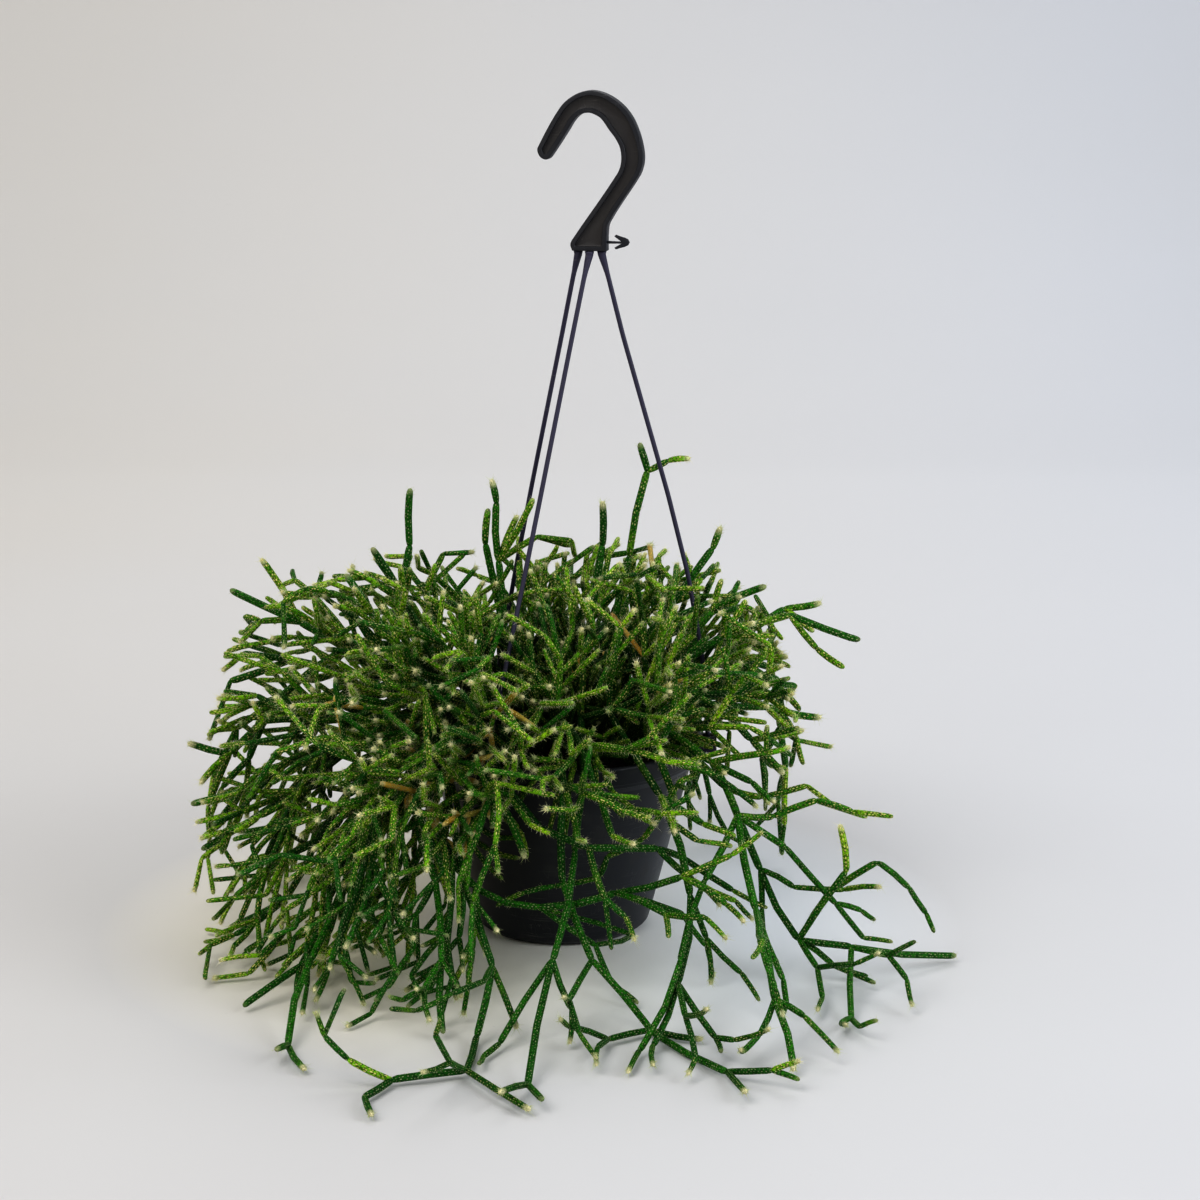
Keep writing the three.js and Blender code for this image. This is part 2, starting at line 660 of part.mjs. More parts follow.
const holes = sprays.map((spray) => {
  const hole = new THREE.CylinderGeometry(holeRadius, holeRadius, holeDepth + 5, 5);
  return hole.rotateX(PI / 2).translate(spray.root[0], spray.root[1], soilTop - holeDepth + (holeDepth + 5) / 2);
});
addPiece('soil', toGeometry(soilBody().subtract(toSolid(mergeGeometries(holes)))), peat);

// Stems: one closed skin over all the lines of a spray. A line goes on into the
// first branch at its tip, and every other branch starts on a small face of the
// short band around its joint. Mains have four sides, the rest three.
function spraySkin(spray) {
  const positions = [];
  const index = [];
  const children = new Map();
  for (const line of spray.lines) {
    if (line.order === 0) continue;
    if (!children.has(line.numbers[0])) children.set(line.numbers[0], []);
    children.get(line.numbers[0]).push(line);
  }
  const vertex = (i) => new THREE.Vector3(positions[3 * i], positions[3 * i + 1], positions[3 * i + 2]);

  function ringAround(station, side, sides) {
    side.addScaledVector(station.along, -side.dot(station.along)).normalize();
    const other = station.along.clone().cross(side);
    const ids = [];
    for (let i = 0; i < sides; i++) {
      const t = 2 * PI * i / sides;
      const p = station.point.clone();
      p.addScaledVector(side, station.radius * Math.cos(t));
      p.addScaledVector(other, station.radius * Math.sin(t));
      ids.push(positions.length / 3);
      positions.push(p.x, p.y, p.z);
    }
    return ids;
  }

  function stationsOf(line, sides) {
    const points = line.points.slice();
    const numbers = line.numbers.slice();
    const radii = points.map(() => line.radius);
    let next = (children.get(numbers[numbers.length - 1]) || []).shift();
    while (next) {
      points.push(...next.points.slice(1));
      numbers.push(...next.numbers.slice(1));
      radii.push(...next.points.slice(1).map(() => next.radius));
      next = (children.get(numbers[numbers.length - 1]) || []).shift();
    }
    const path = points.map((p) => new THREE.Vector3(...p));
    const widen = sides === 4 ? 1.11 : 1.18;
    const stations = [];
    for (let k = 0; k < path.length; k++) {
      const before = k > 0 ? path[k].clone().sub(path[k - 1]).normalize() : null;
      const after = k + 1 < path.length ? path[k + 1].clone().sub(path[k]).normalize() : null;
      const radius = radii[k] * widen;
      const forks = (k > 0 && children.get(numbers[k])) || [];
      if (!before || !after) {
        const end = after ? 1 : 0.8;
        stations.push({ point: path[k], along: before || after, radius: radius * end, forks: [] });
      } else if (forks.length) {
        stations.push({ point: path[k].clone().addScaledVector(before, -2.2), along: before, radius, forks });
        stations.push({ point: path[k].clone().addScaledVector(after, 2.8), along: after, radius, forks: [] });
      } else {
        stations.push({ point: path[k], along: before.clone().add(after).normalize(), radius, forks: [] });
      }
    }
    return stations;
  }

  // Gives each fork the free face of the band that looks most its way.
  function shareFaces(lower, upper, forks) {
    const taken = new Map();
    for (const fork of forks) {
      const way = new THREE.Vector3(...minus(fork.points[1], fork.points[0])).normalize();
      let best = -1;
      let most = -2;
      for (let i = 0; i < lower.length; i++) {
        if (taken.has(i)) continue;
        const a = vertex(lower[i]);
        const b = vertex(lower[(i + 1) % lower.length]);
        const c = vertex(upper[i]);
        const facing = b.sub(a).cross(c.sub(a)).normalize().dot(way);
        if (facing > most) {
          most = facing;
          best = i;
        }
      }
      taken.set(best, fork);
    }
    return taken;
  }

  function growSkin(line, base, sides) {
    const stations = stationsOf(line, sides);
    const side = new THREE.Vector3(0.31, 0.47, 0.83);
    let lower = base;
    if (base) {
      const middle = new THREE.Vector3();
      for (const i of base) middle.add(vertex(i));
      side.copy(vertex(base[0])).sub(middle.divideScalar(base.length));
      stations.shift();
    } else {
      lower = ringAround(stations.shift(), side, sides);
      for (let i = 1; i + 1 < sides; i++) index.push(lower[0], lower[i + 1], lower[i]);
    }
    let waiting = [];
    const branches = [];
    for (const station of stations) {
      const upper = ringAround(station, side, sides);
      const taken = shareFaces(lower, upper, waiting);
      for (let i = 0; i < sides; i++) {
        const j = (i + 1) % sides;
        if (taken.has(i)) branches.push([taken.get(i), [lower[i], lower[j], upper[i]]]);
        else index.push(lower[i], lower[j], upper[i]);
        index.push(lower[j], upper[j], upper[i]);
      }
      waiting = station.forks;
      lower = upper;
    }
    for (let i = 1; i + 1 < sides; i++) index.push(lower[0], lower[i], lower[i + 1]);
    for (const [fork, face] of branches) growSkin(fork, face, 3);
  }

  growSkin(spray.lines[0], null, 4);
  const geometry = new THREE.BufferGeometry();
  geometry.setAttribute('position', new THREE.Float32BufferAttribute(positions, 3));
  geometry.setIndex(index);
  geometry.computeVertexNormals();
  return geometry;
}

sprays.forEach((spray, k) => {
  addPiece(`stem_${String(k + 1).padStart(2, '0')}`, spraySkin(spray), stemGreen);
});

export default model;
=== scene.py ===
# %% [markdown]
# # A potted rhipsalis in its hanging pot
# The object is a bush of slim, forked cactus stems that spill out of a black
# plastic hanging pot, down to the floor it stands on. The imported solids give
# the true sizes and places, in metres, +Z up. This script dresses them: every
# solid is replaced by, or finished as, the piece that one would touch.

# %% Load the frame
import math
import bmesh
import bpy
import numpy as np
from mathutils import Matrix, Vector


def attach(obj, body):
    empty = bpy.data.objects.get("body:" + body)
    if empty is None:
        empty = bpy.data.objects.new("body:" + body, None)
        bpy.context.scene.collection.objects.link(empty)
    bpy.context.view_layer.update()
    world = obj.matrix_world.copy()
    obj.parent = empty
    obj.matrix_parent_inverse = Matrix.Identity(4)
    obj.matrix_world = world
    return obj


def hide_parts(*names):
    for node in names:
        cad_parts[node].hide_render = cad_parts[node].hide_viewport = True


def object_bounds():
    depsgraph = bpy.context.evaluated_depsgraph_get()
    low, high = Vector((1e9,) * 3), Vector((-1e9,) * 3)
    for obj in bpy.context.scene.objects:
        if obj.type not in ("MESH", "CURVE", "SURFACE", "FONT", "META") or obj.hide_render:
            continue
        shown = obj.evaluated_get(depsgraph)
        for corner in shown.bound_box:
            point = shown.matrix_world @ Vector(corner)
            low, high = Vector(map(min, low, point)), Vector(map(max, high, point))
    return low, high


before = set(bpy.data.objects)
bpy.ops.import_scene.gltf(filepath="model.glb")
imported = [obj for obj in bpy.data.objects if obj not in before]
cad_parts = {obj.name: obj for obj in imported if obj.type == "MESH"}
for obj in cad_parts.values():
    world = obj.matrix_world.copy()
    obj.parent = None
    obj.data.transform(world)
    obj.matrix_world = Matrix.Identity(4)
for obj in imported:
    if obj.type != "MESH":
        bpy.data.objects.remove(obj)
cad_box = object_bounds()
MM = 0.001
print("solids loaded:", len(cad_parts))


# %% [markdown]
# ## Camera
# The plant was photographed a little from above with a long lens, in front of a
# seamless pale backdrop, in soft daylight. A long lens keeps the pot's rim flat.
# A camera can stand anywhere, but here its height, aim and lens are chosen so that
# the pot and the hook lie in the picture where the photograph shows them.

# %% Camera
CAMERA_PLACE = (0.0235, -1.7, 0.6)
CAMERA_TARGET = (0.0235, 0.0, 0.205)
LENS_MM = 85.4


def in_scene(name, data):
    obj = bpy.data.objects.new(name, data)
    bpy.context.scene.collection.objects.link(obj)
    return obj


def aimed(obj, place, target):
    obj.location = place
    obj.rotation_euler = (Vector(target) - Vector(place)).to_track_quat("-Z", "Y").to_euler()


camera_data = bpy.data.cameras.new("camera")
camera_data.sensor_width = 36.0
camera_data.lens = LENS_MM
camera_data.clip_end = 60.0
camera = in_scene("camera", camera_data)
aimed(camera, CAMERA_PLACE, CAMERA_TARGET)
bpy.context.scene.camera = camera
bpy.context.scene.view_settings.view_transform = "Standard"
bpy.context.scene.view_settings.look = "High Contrast"
print("camera lens, mm:", camera_data.lens)


# %% [markdown]
# ## Two helpers
# Meshes and node trees are both built in this script, so two short forms are made
# first: one turns lists of points and faces into an object, the other adds nodes
# to a tree. Both are plain wrappers, and any step could be done by hand as well.

# %% Helper for meshes
def mesh_object(name, points, faces):
    mesh = bpy.data.meshes.new(name)
    mesh.from_pydata([tuple(p) for p in points], [], [tuple(f) for f in faces])
    mesh.validate()
    mesh.shade_smooth()
    return in_scene(name, mesh)


print("mesh helper ready")


# %% Helper for node trees
class Tree:
    """Short hand for adding nodes to a tree and joining their sockets."""

    def __init__(self, tree):
        self.tree = tree

    def add(self, kind, inputs=None, **settings):
        node = self.tree.nodes.new(kind)
        for key, value in settings.items():
            setattr(node, key, value)
        for key, value in (inputs or {}).items():
            self.set(node, key, value)
        return node

    def made(self, kind, inputs=None, **settings):
        """The first output of a new node."""
        return self.add(kind, inputs, **settings).outputs[0]

    def set(self, node, key, value):
        socket = node.inputs[key]
        if isinstance(value, bpy.types.NodeSocket):
            self.tree.links.new(value, socket)
        else:
            socket.default_value = value

    def math(self, operation, a, b=None):
        node = self.add("ShaderNodeMath", {0: a}, operation=operation)
        if b is not None:
            self.set(node, 1, b)
        return node.outputs[0]

    def plus(self, a, b):
        return self.math("ADD", a, b)

    def less(self, a, b):
        return self.math("SUBTRACT", a, b)

    def times(self, a, b):
        return self.math("MULTIPLY", a, b)

    def mix(self, factor, a, b):
        node = self.add("ShaderNodeMix", data_type="RGBA")
        self.set(node, 0, factor)
        self.set(node, 6, a)
        self.set(node, 7, b)
        return node.outputs[2]

    def ramp(self, factor, low, high, out_low=0.0, out_high=1.0):
        node = self.add("ShaderNodeMapRange", {"From Min": low, "From Max": high,
                                               "To Min": out_low, "To Max": out_high})
        self.set(node, "Value", factor)
        return node.outputs[0]

    def object_place(self):
        return self.add("ShaderNodeTexCoord").outputs["Object"]

    def carried(self, name):
        """A value that the mesh carries under this name."""
        return self.add("ShaderNodeAttribute", attribute_name=name).outputs["Fac"]

    def noise(self, place, scale, detail):
        node = self.add("ShaderNodeTexNoise", {"Vector": place, "Scale": scale, "Detail": detail})
        return node.outputs["Fac"]

    def split(self, vector):
        return self.add("ShaderNodeSeparateXYZ", {"Vector": vector}).outputs

    def bump(self, shader, height, strength, distance):
        node = self.add("ShaderNodeBump", {"Strength": strength, "Distance": distance})
        self.set(node, "Height", height)
        self.set(shader, "Normal", node.outputs[0])


def new_material(name):
    material = bpy.data.materials.new(name)
    material.use_nodes = True
    tree = Tree(material.node_tree)
    shader = material.node_tree.nodes["Principled BSDF"]
    return material, tree, shader


print("node tree helper ready")


# %% [markdown]
# ## The backdrop
# Studio paper is one sheet that lies flat and then bends up behind the object. A
# plane and a wall would meet in a line, so a profile with a quarter circle is
# drawn and pulled wide. Its tone shifts from warm on the left to cool on the
# right and is greyer near the camera. Close round the plant it carries painted
# light over the plant's shadow: paler, warm on the left and cool on the right.

# %% Sheet of paper
SHEET_FRONT, SHEET_TOP = -3.0, 5.0
SHEET_HALF = 5.0
SHEET_DROP = 0.0005
BEND_START, BEND_RADIUS, BEND_STEPS = 1.6, 1.4, 12


def backdrop():
    profile = [(SHEET_FRONT, 0.0), (BEND_START, 0.0)]
    for k in range(1, BEND_STEPS + 1):
        angle = math.radians(90 * k / BEND_STEPS)
        profile.append((BEND_START + BEND_RADIUS * math.sin(angle), BEND_RADIUS * (1 - math.cos(angle))))
    profile.append((BEND_START + BEND_RADIUS, SHEET_TOP))
    points, faces = [], []
    for y, z in profile:
        points += [(-SHEET_HALF, y, z - SHEET_DROP), (SHEET_HALF, y, z - SHEET_DROP)]
    for k in range(len(profile) - 1):
        faces.append((2 * k, 2 * k + 1, 2 * k + 3, 2 * k + 2))
    return mesh_object("backdrop", points, faces)


floor = backdrop()
print("corners of the sheet:", len(floor.data.vertices))

# %% Tone of the paper
WARM_PAPER, COOL_PAPER = (0.81, 0.775, 0.72, 1), (0.80, 0.815, 0.85, 1)
NEAR_PAPER, CLOUDY_PAPER = (0.30, 0.29, 0.30, 1), (0.76, 0.765, 0.775, 1)
PAPER_FLECK = (0.5, 0.48, 0.46, 1)
# Painted light: the tones and reach of a pale patch painted round the plant to lift its shadow on the
# paper.
WARM_PAINTED_LIGHT, COOL_PAINTED_LIGHT = (0.97, 0.90, 0.74, 1), (0.90, 0.94, 0.99, 1)
PAINTED_LIGHT_MIDDLE = (-0.02, 0.0, 0.0)
PAINTED_LIGHT_END, PAINTED_LIGHT_FULL = 0.27, 0.12
paper, tree, shader = new_material("seamless_paper")
place = tree.object_place()
clouds = tree.noise(place, 1.3, 2.0)
flecks = tree.noise(place, 260.0, 2.0)
split = tree.split(place)
side = tree.ramp(split["X"], -0.7, 0.8)
tint = tree.mix(side, WARM_PAPER, COOL_PAPER)
near = tree.ramp(split["Y"], -1.0, 1.5, 0.55, 0.0)
tint = tree.mix(near, tint, NEAR_PAPER)
tint = tree.mix(tree.ramp(clouds, 0.35, 0.65, 0.0, 0.25), tint, CLOUDY_PAPER)
# Painted light round the plant: near it, the paper is mixed towards a warm or cool pale tone over its
# shadow.
from_plant = tree.add("ShaderNodeVectorMath", {0: place, 1: PAINTED_LIGHT_MIDDLE}, operation="DISTANCE")
from_plant = from_plant.outputs["Value"]
painted_light = tree.mix(tree.ramp(split["X"], -0.12, 0.12), WARM_PAINTED_LIGHT, COOL_PAINTED_LIGHT)
tint = tree.mix(tree.ramp(from_plant, PAINTED_LIGHT_END, PAINTED_LIGHT_FULL), tint, painted_light)
tree.set(shader, "Base Color", tree.mix(tree.ramp(flecks, 0.72, 0.8, 0.0, 0.15), tint, PAPER_FLECK))
shader.inputs["Roughness"].default_value = 0.75
floor.data.materials.append(paper)
print("paper nodes:", len(paper.node_tree.nodes))

# %% [markdown]
# ## Light
# The light is soft and falls from high on the left, as from a large window with
# pale walls on the other side. One wide area light stands for the window, a weaker
# one for the walls, one behind lifts the plant off the paper, and a faint low one
# reaches under the hanging stems. A sky picture could do the same, but lamps are
# easier to place one by one.

# %% Lights and sky
LIGHT_TARGET = (0, 0, 0.15)
SKY_STRENGTH = 0.33


def area_light(name, place, size, power, colour):
    data = bpy.data.lights.new(name, "AREA")
    data.size = size
    data.energy = power
    data.color = colour
    aimed(in_scene(name, data), place, LIGHT_TARGET)


area_light("window", (-1.1, -1.6, 2.4), 2.0, 34.0, (1.0, 0.985, 0.96))
area_light("fill", (1.7, -0.9, 1.0), 1.4, 17.0, (0.92, 0.96, 1.0))
area_light("back", (0.3, 1.6, 2.2), 1.4, 10.0, (1.0, 1.0, 1.0))
area_light("low", (-0.9, -1.3, 0.35), 0.9, 1.6, (1.0, 0.90, 0.76))
world = bpy.data.worlds.new("sky")
world.use_nodes = True
world.node_tree.nodes["Background"].inputs[0].default_value = (0.93, 0.95, 1.0, 1)
world.node_tree.nodes["Background"].inputs[1].default_value = SKY_STRENGTH
bpy.context.scene.world = world


# %% [markdown]
# ## The rule that the plant grows by
# A rhipsalis grows in straight joints of 2 to 5 cm. A joint ends in a whorl of two
# or three new ones, each turned away by 30 to 60 degrees, so the bush forks
# again and again and its tips fill a dome. The shoots that give the bush its
# outline are listed one by one; the rest grows by a seeded rule, which keeps every
# stem clear of the pot, of the hanger and of the other stems. Lengths are in
# millimetres here, and the same rule and values shape the solids.

# %% Sizes of the pot and the hanger, in millimetres
POT_HEIGHT = 121.0
RIM_RADIUS = 86.5
RIM_BAND = 14.0
WALL = 2.0
BASE_RADIUS = 54.0
FLOOR_THICKNESS = 2.5
SOIL_TOP = 106.0
HOLE_DEPTH = 20.0
HOOK_BASE = (17.0, 0.0, 419.0)
HOOK_TURN = -0.2
HOOK_THICKNESS = 9.0
POCKET_INSET = 2.7
POCKET_DEPTH = 2.4
STRAND_RADIUS = 1.4
LUG_RADIUS = 90.0
LUG_TOP = 119.0
LUG_HEIGHT = 7.0
CLIP_ANGLES = (0, 120, 240)
STRAND_BOW = (9.0, 3.0, -2.0)
STRAND_TOPS = ((7.6, -1.5), (-6.5, 2.0), (0.2, -2.6))
OUTER_WALL = ((0, BASE_RADIUS - 4), (3, BASE_RADIUS), (14, BASE_RADIUS + 3),
              (POT_HEIGHT - RIM_BAND - 8, 79), (POT_HEIGHT - RIM_BAND, 81))


def strand_line(k):
    angle = CLIP_ANGLES[k] * math.pi / 180
    top = (HOOK_BASE[0] + STRAND_TOPS[k][0], HOOK_BASE[1] + STRAND_TOPS[k][1], HOOK_BASE[2] - 0.35)
    end = (LUG_RADIUS * math.cos(angle), LUG_RADIUS * math.sin(angle), LUG_TOP + 4)
    points = []
    for i in range(7):
        t = i / 6
        bow = STRAND_BOW[k] * 6.75 * t * t * (1 - t)
        points.append((top[0] + (end[0] - top[0]) * t + bow * math.cos(angle),
                       top[1] + (end[1] - top[1]) * t + bow * math.sin(angle),
                       top[2] + (end[2] - top[2]) * t))
    return points


def outer_radius(z):
    if z > POT_HEIGHT - RIM_BAND:
        return RIM_RADIUS
    for (z0, r0), (z1, r1) in zip(OUTER_WALL, OUTER_WALL[1:]):
        if z <= z1:
            return r0 + (r1 - r0) * (max(z, 0) - z0) / (z1 - z0)
    return RIM_RADIUS


print("pot radius half way up, mm:", round(outer_radius(60), 1))

# %% [markdown]
# ## Shoots listed one by one
# The long stems that hang over the rim, trail on the floor or stand up out of the
# crown give this bush its outline. A rule could not guess them, so each is a
# short list of points, and the rule only moves a point where its way is blocked.

# %% Shoots listed one by one
SPRAY_COUNT = 54
ROOT_DISC = 66.0
STEM_GAP = 0.4
STEM_RADII = (2.3, 2.05, 1.9, 1.75)
KNOT = 1.16
LEAST_FORK = 30
SEED = 24
least_fork = math.cos(math.radians(LEAST_FORK))

# Each row: points of a main stem after it leaves the soil.
SHOOTS = [
    [[-85, 10, 161], [-98, 15, 202], [-94, 20, 235], [-93, 20, 271]],
    [[-36, 35, 171], [-40, 40, 221], [-41, 40, 258], [-44, 40, 273]],
    [[-37, 62, 165], [-49, 62, 227], [-47, 62, 250]],
    [[-75, -2, 161], [-96, 3, 204], [-116, 0, 238]],
    [[-87, -18, 158], [-115, -22, 203], [-131, -16, 225]],
    [[-90, 12, 145], [-131, 15, 168], [-163, 20, 186], [-206, 20, 207]],
    [[31, 30, 172], [42, 40, 224], [53, 45, 277], [48, 45, 295]],
    [[18, 15, 189], [25, 20, 235], [25, 20, 263]],
    [[48, 10, 171], [79, 15, 214], [93, 20, 233], [98, 20, 247]],
    [[57, -3, 161], [102, 3, 190], [126, 8, 212]],
    [[54, -14, 151], [98, -8, 184], [140, -2, 196], [184, 3, 179]],
    [[55, 34, 150], [109, 40, 170], [140, 45, 189], [163, 45, 193]],
    [[56, -26, 147], [106, -20, 151], [133, -14, 139], [160, -10, 133]],
    [[60, 17, 142], [104, 22, 162], [133, 22, 146], [139, 20, 118], [148, 20, 110]],
    [[55, -42, 145], [97, -45, 150], [115, -45, 129], [135, -45, 107]],
    [[53, -60, 145], [89, -90, 128], [104, -105, 100], [112, -165, 63], [120, -215, 28], [128, -260, 4]],
    [[66, -44, 134], [99, -62, 104], [119, -85, 60], [141, -110, 25], [171, -120, 24], [238, -80, 4]],
    [[-5, -62, 140], [-4, -104, 112], [2, -130, 67], [19, -180, 38], [52, -200, 4], [92, -260, 4]],
    [[12, -58, 146], [14, -104, 118], [9, -124, 84], [-3, -190, 42], [-15, -278, 4]],
    [[-56, -58, 142], [-66, -92, 105], [-56, -128, 67], [-37, -190, 38], [-45, -212, 5],
     [-49, -258, 4], [-88, -272, 4], [-101, -294, 4]],
    [[-48, -66, 146], [-82, -84, 108], [-72, -132, 69], [-66, -180, 38], [-64, -206, 4]],
    [[-75, -50, 145], [-109, -62, 102], [-127, -100, 59], [-143, -150, 27], [-149, -222, 4]],
    [[-66, -42, 142], [-114, -44, 96], [-137, -88, 44], [-151, -132, 17], [-181, -164, 4]],
    [[-84, -30, 140], [-117, -28, 108], [-148, -50, 67], [-168, -60, 32], [-206, -32, 4]],
    [[-80, -8, 145], [-124, -12, 119], [-167, -22, 88], [-221, -35, 56]],
    [[-78, 4, 148], [-125, 2, 129], [-168, -8, 106], [-198, -18, 88], [-228, -25, 82]],
    [[-72, 18, 150], [-119, 12, 142], [-168, 8, 138], [-206, -2, 108], [-232, -4, 115]],
    [[-74, 30, 152], [-120, 28, 150], [-170, 28, 160], [-208, 26, 147]],
    [[-40, -60, 150], [-65, -80, 136], [-38, -115, 118], [-20, -125, 80]],
    [[-20, -55, 144], [-41, -88, 134], [-11, -118, 96], [22, -128, 80], [57, -125, 86]],
    [[-70, -66, 140], [-78, -100, 96], [-46, -122, 62], [-11, -135, 54], [33, -136, 64]],
    [[29, -62, 150], [59, -106, 112], [75, -148, 66], [67, -198, 31]],
    [[-60, -50, 165], [-96, -66, 155], [-107, -95, 128], [-108, -132, 81], [-122, -165, 39]],
    [[-30, -58, 140], [-38, -94, 132], [-44, -108, 104]],
    [[5, -60, 142], [14, -94, 136], [20, -108, 114]],
    [[40, -52, 140], [56, -84, 134], [68, -98, 106]],
    [[-52, -48, 148], [-78, -74, 138], [-92, -90, 110], [-94, -98, 82]],
    [[-78, -22, 150], [-128, -34, 138], [-160, -46, 96], [-178, -58, 52]],
    [[-74, 44, 150], [-118, 62, 134], [-148, 72, 92], [-160, 80, 48], [-170, 92, 6]],
    [[-76, 16, 168], [-132, 18, 172], [-176, 22, 138], [-198, 26, 96]],
    [[-58, -62, 150], [-92, -98, 128], [-112, -122, 84], [-126, -142, 40]],
    [[-64, -82, 142], [-36, -106, 119], [-23, -112, 94], [-19, -114, 74]],
    [[-76, -80, 150], [-79, -108, 116], [-70, -120, 65], [-66, -140, 23]],
    [[-50, -80, 134], [-53, -104, 97], [-42, -120, 53], [-12, -170, 27]],
    [[0, -86, 130], [14, -104, 97], [4, -112, 63]],
]

print("shoots by hand:", len(SHOOTS))

# %% Branches listed one by one
# Each row: number of the shoot, number of its joint, points.
HAND_FORKS = [
    [1, 1, [-51, 43, 238], [-48, 45, 262]], [1, 2, [-32, 42, 271]], [1, 2, [-30, 36, 262]],
    [1, 2, [-31, 44, 251]],
    [5, 3, [-196, 26, 216]], [6, 3, [66, 48, 283], [80, 50, 284]],
    [10, 3, [158, 0, 174], [174, -4, 163]], [11, 3, [158, 36, 176]],
    [15, 3, [84, -140, 72], [64, -195, 38], [45, -231, 4]],
    [15, 3, [97, -150, 60], [100, -192, 34], [92, -214, 6]],
    [15, 3, [132, -110, 82], [162, -112, 48]],
    [15, 3, [126, -94, 96], [151, -95, 106]],
    [15, 3, [136, -134, 66], [150, -152, 42], [144, -179, 6]],
    [16, 4, [166, -128, 73], [162, -128, 102]], [16, 5, [166, -182, 4]],
    [16, 4, [160, -96, 50], [186, -108, 72], [206, -100, 54]],
    [17, 5, [28, -214, 4]], [18, 4, [-32, -222, 5]], [19, 6, [-13, -312, 4]], [19, 8, [-95, -319, 4]],
]
print("branches by hand:", len(HAND_FORKS))


# %% [markdown]
# ## Dice and distances
# Growth needs chance, but the plant must be the same on every run and in every
# tool, so a small generator of its own gives the numbers. Before a stem grows, its
# distance to every other stretch is measured, which arrays do in one step.

# %% Seeded numbers and small vector sums
class Dice:
    """A small 32-bit generator, so that the plant is the same every time."""

    def __init__(self, seed):
        self.state = seed & 0xFFFFFFFF

    def roll(self):
        self.state = (self.state + 0x6D2B79F5) & 0xFFFFFFFF
        a = self.state
        t = ((a ^ (a >> 15)) * (a | 1)) & 0xFFFFFFFF
        t ^= (t + (((t ^ (t >> 7)) * (t | 61)) & 0xFFFFFFFF)) & 0xFFFFFFFF
        t &= 0xFFFFFFFF
        return ((t ^ (t >> 14)) & 0xFFFFFFFF) / 4294967296

    def between(self, low, high):
        return low + (high - low) * self.roll()


def minus(a, b):
    return [a[0] - b[0], a[1] - b[1], a[2] - b[2]]


def ahead(a, d, s):
    return [a[0] + d[0] * s, a[1] + d[1] * s, a[2] + d[2] * s]


def length(v):
    return math.sqrt(v[0] * v[0] + v[1] * v[1] + v[2] * v[2])


def unit(v):
    size = length(v)
    return [v[0] / size, v[1] / size, v[2] / size]


def cross(a, b):
    return [a[1] * b[2] - a[2] * b[1], a[2] * b[0] - a[0] * b[2], a[0] * b[1] - a[1] * b[0]]


def turned(direction, angle, around):
    helper = [0, 0, 1] if abs(direction[2]) < 0.9 else [1, 0, 0]
    side = unit(cross(direction, helper))
    other = cross(direction, side)
    way = ahead([0, 0, 0], direction, math.cos(angle))
    way = ahead(way, side, math.cos(around) * math.sin(angle))
    return unit(ahead(way, other, math.sin(around) * math.sin(angle)))


dice = Dice(SEED)
print("first roll of the dice:", round(Dice(SEED).roll(), 6))


# %% Which places are free
MOST_STRETCHES = 4000
FLOOR_GAP, LYING_GAP, RIM_GAP, WALL_GAP = 0.5, 0.6, 0.8, 1.2
SPAN_X, SPAN_Y = (-238, 243), (-322, 185)


class Placed:
    """Every stretch of stem so far, in arrays, for quick distance tests."""

    def __init__(self):
        self.count = 0
        self.start = np.zeros((MOST_STRETCHES, 3))
        self.step = np.zeros((MOST_STRETCHES, 3))
        self.square = np.zeros(MOST_STRETCHES)
        self.reach = np.zeros(MOST_STRETCHES)
        self.joints = np.full((MOST_STRETCHES, 2), -1)

    def add(self, a, b, reach, first, last):
        k = self.count
        self.start[k] = a
        self.step[k] = minus(b, a)
        self.square[k] = self.step[k] @ self.step[k]
        self.reach[k] = reach
        self.joints[k] = (first, last)
        self.count += 1

    def gaps_to(self, a, b):
        n = self.count
        c, v, vv = self.start[:n], self.step[:n], self.square[:n]
        u = np.array(minus(b, a))
        w = np.array(a) - c
        uu = u @ u
        uv, uw, vw = v @ u, w @ u, (v * w).sum(axis=1)
        det = uu * vv - uv * uv
        safe = np.where(det > 1e-9, det, 1.0)
        s = np.clip(np.where(det > 1e-9, (uv * vw - vv * uw) / safe, 0.0), 0, 1)
        t = (uv * s + vw) / vv
        outside = (t < 0) | (t > 1)
        t = np.clip(t, 0, 1)
        if uu > 0:
            s = np.where(outside, np.clip((uv * t - uw) / uu, 0, 1), s)
        return np.linalg.norm((np.array(a) + s[:, None] * u) - (c + t[:, None] * v), axis=1)

    def ways_from(self, joint, shares):
        """Directions in which the stretches that share a joint leave it."""
        step = self.step[:self.count][shares]
        away = np.where(self.joints[:self.count, 0][shares] == joint, 1, -1)
        return step * (away / np.linalg.norm(step, axis=1))[:, None]


print("room for", MOST_STRETCHES, "stretches of stem")

# %% Keep clear of the hanger
LUG_INNER, LUG_OUTER, LUG_GUARD = 84, 91, 8.5
placed = Placed()
for k in range(3):
    line = strand_line(k)
    for a, b in zip(line, line[1:]):
        placed.add(a, b, STRAND_RADIUS + 0.3, -1, -1)
    angle = CLIP_ANGLES[k] * math.pi / 180
    inner = [LUG_INNER * math.cos(angle), LUG_INNER * math.sin(angle), LUG_TOP - 6]
    outer = [LUG_OUTER * math.cos(angle), LUG_OUTER * math.sin(angle), LUG_TOP - 6]
    placed.add(inner, outer, LUG_GUARD, -1, -1)
print("stretches to keep clear of the hanger:", placed.count)


# %% Keep clear of the pot and of other stems
def point_is_free(p, reach):
    r = math.sqrt(p[0] * p[0] + p[1] * p[1])
    if p[2] < reach + FLOOR_GAP:
        return False
    if p[2] > POT_HEIGHT + reach + RIM_GAP:
        return True
    if r > outer_radius(p[2] + reach) + reach + WALL_GAP and r > outer_radius(p[2]) + reach + WALL_GAP:
        return True
    return r < RIM_RADIUS - 6 - reach and p[2] > SOIL_TOP + reach + 1


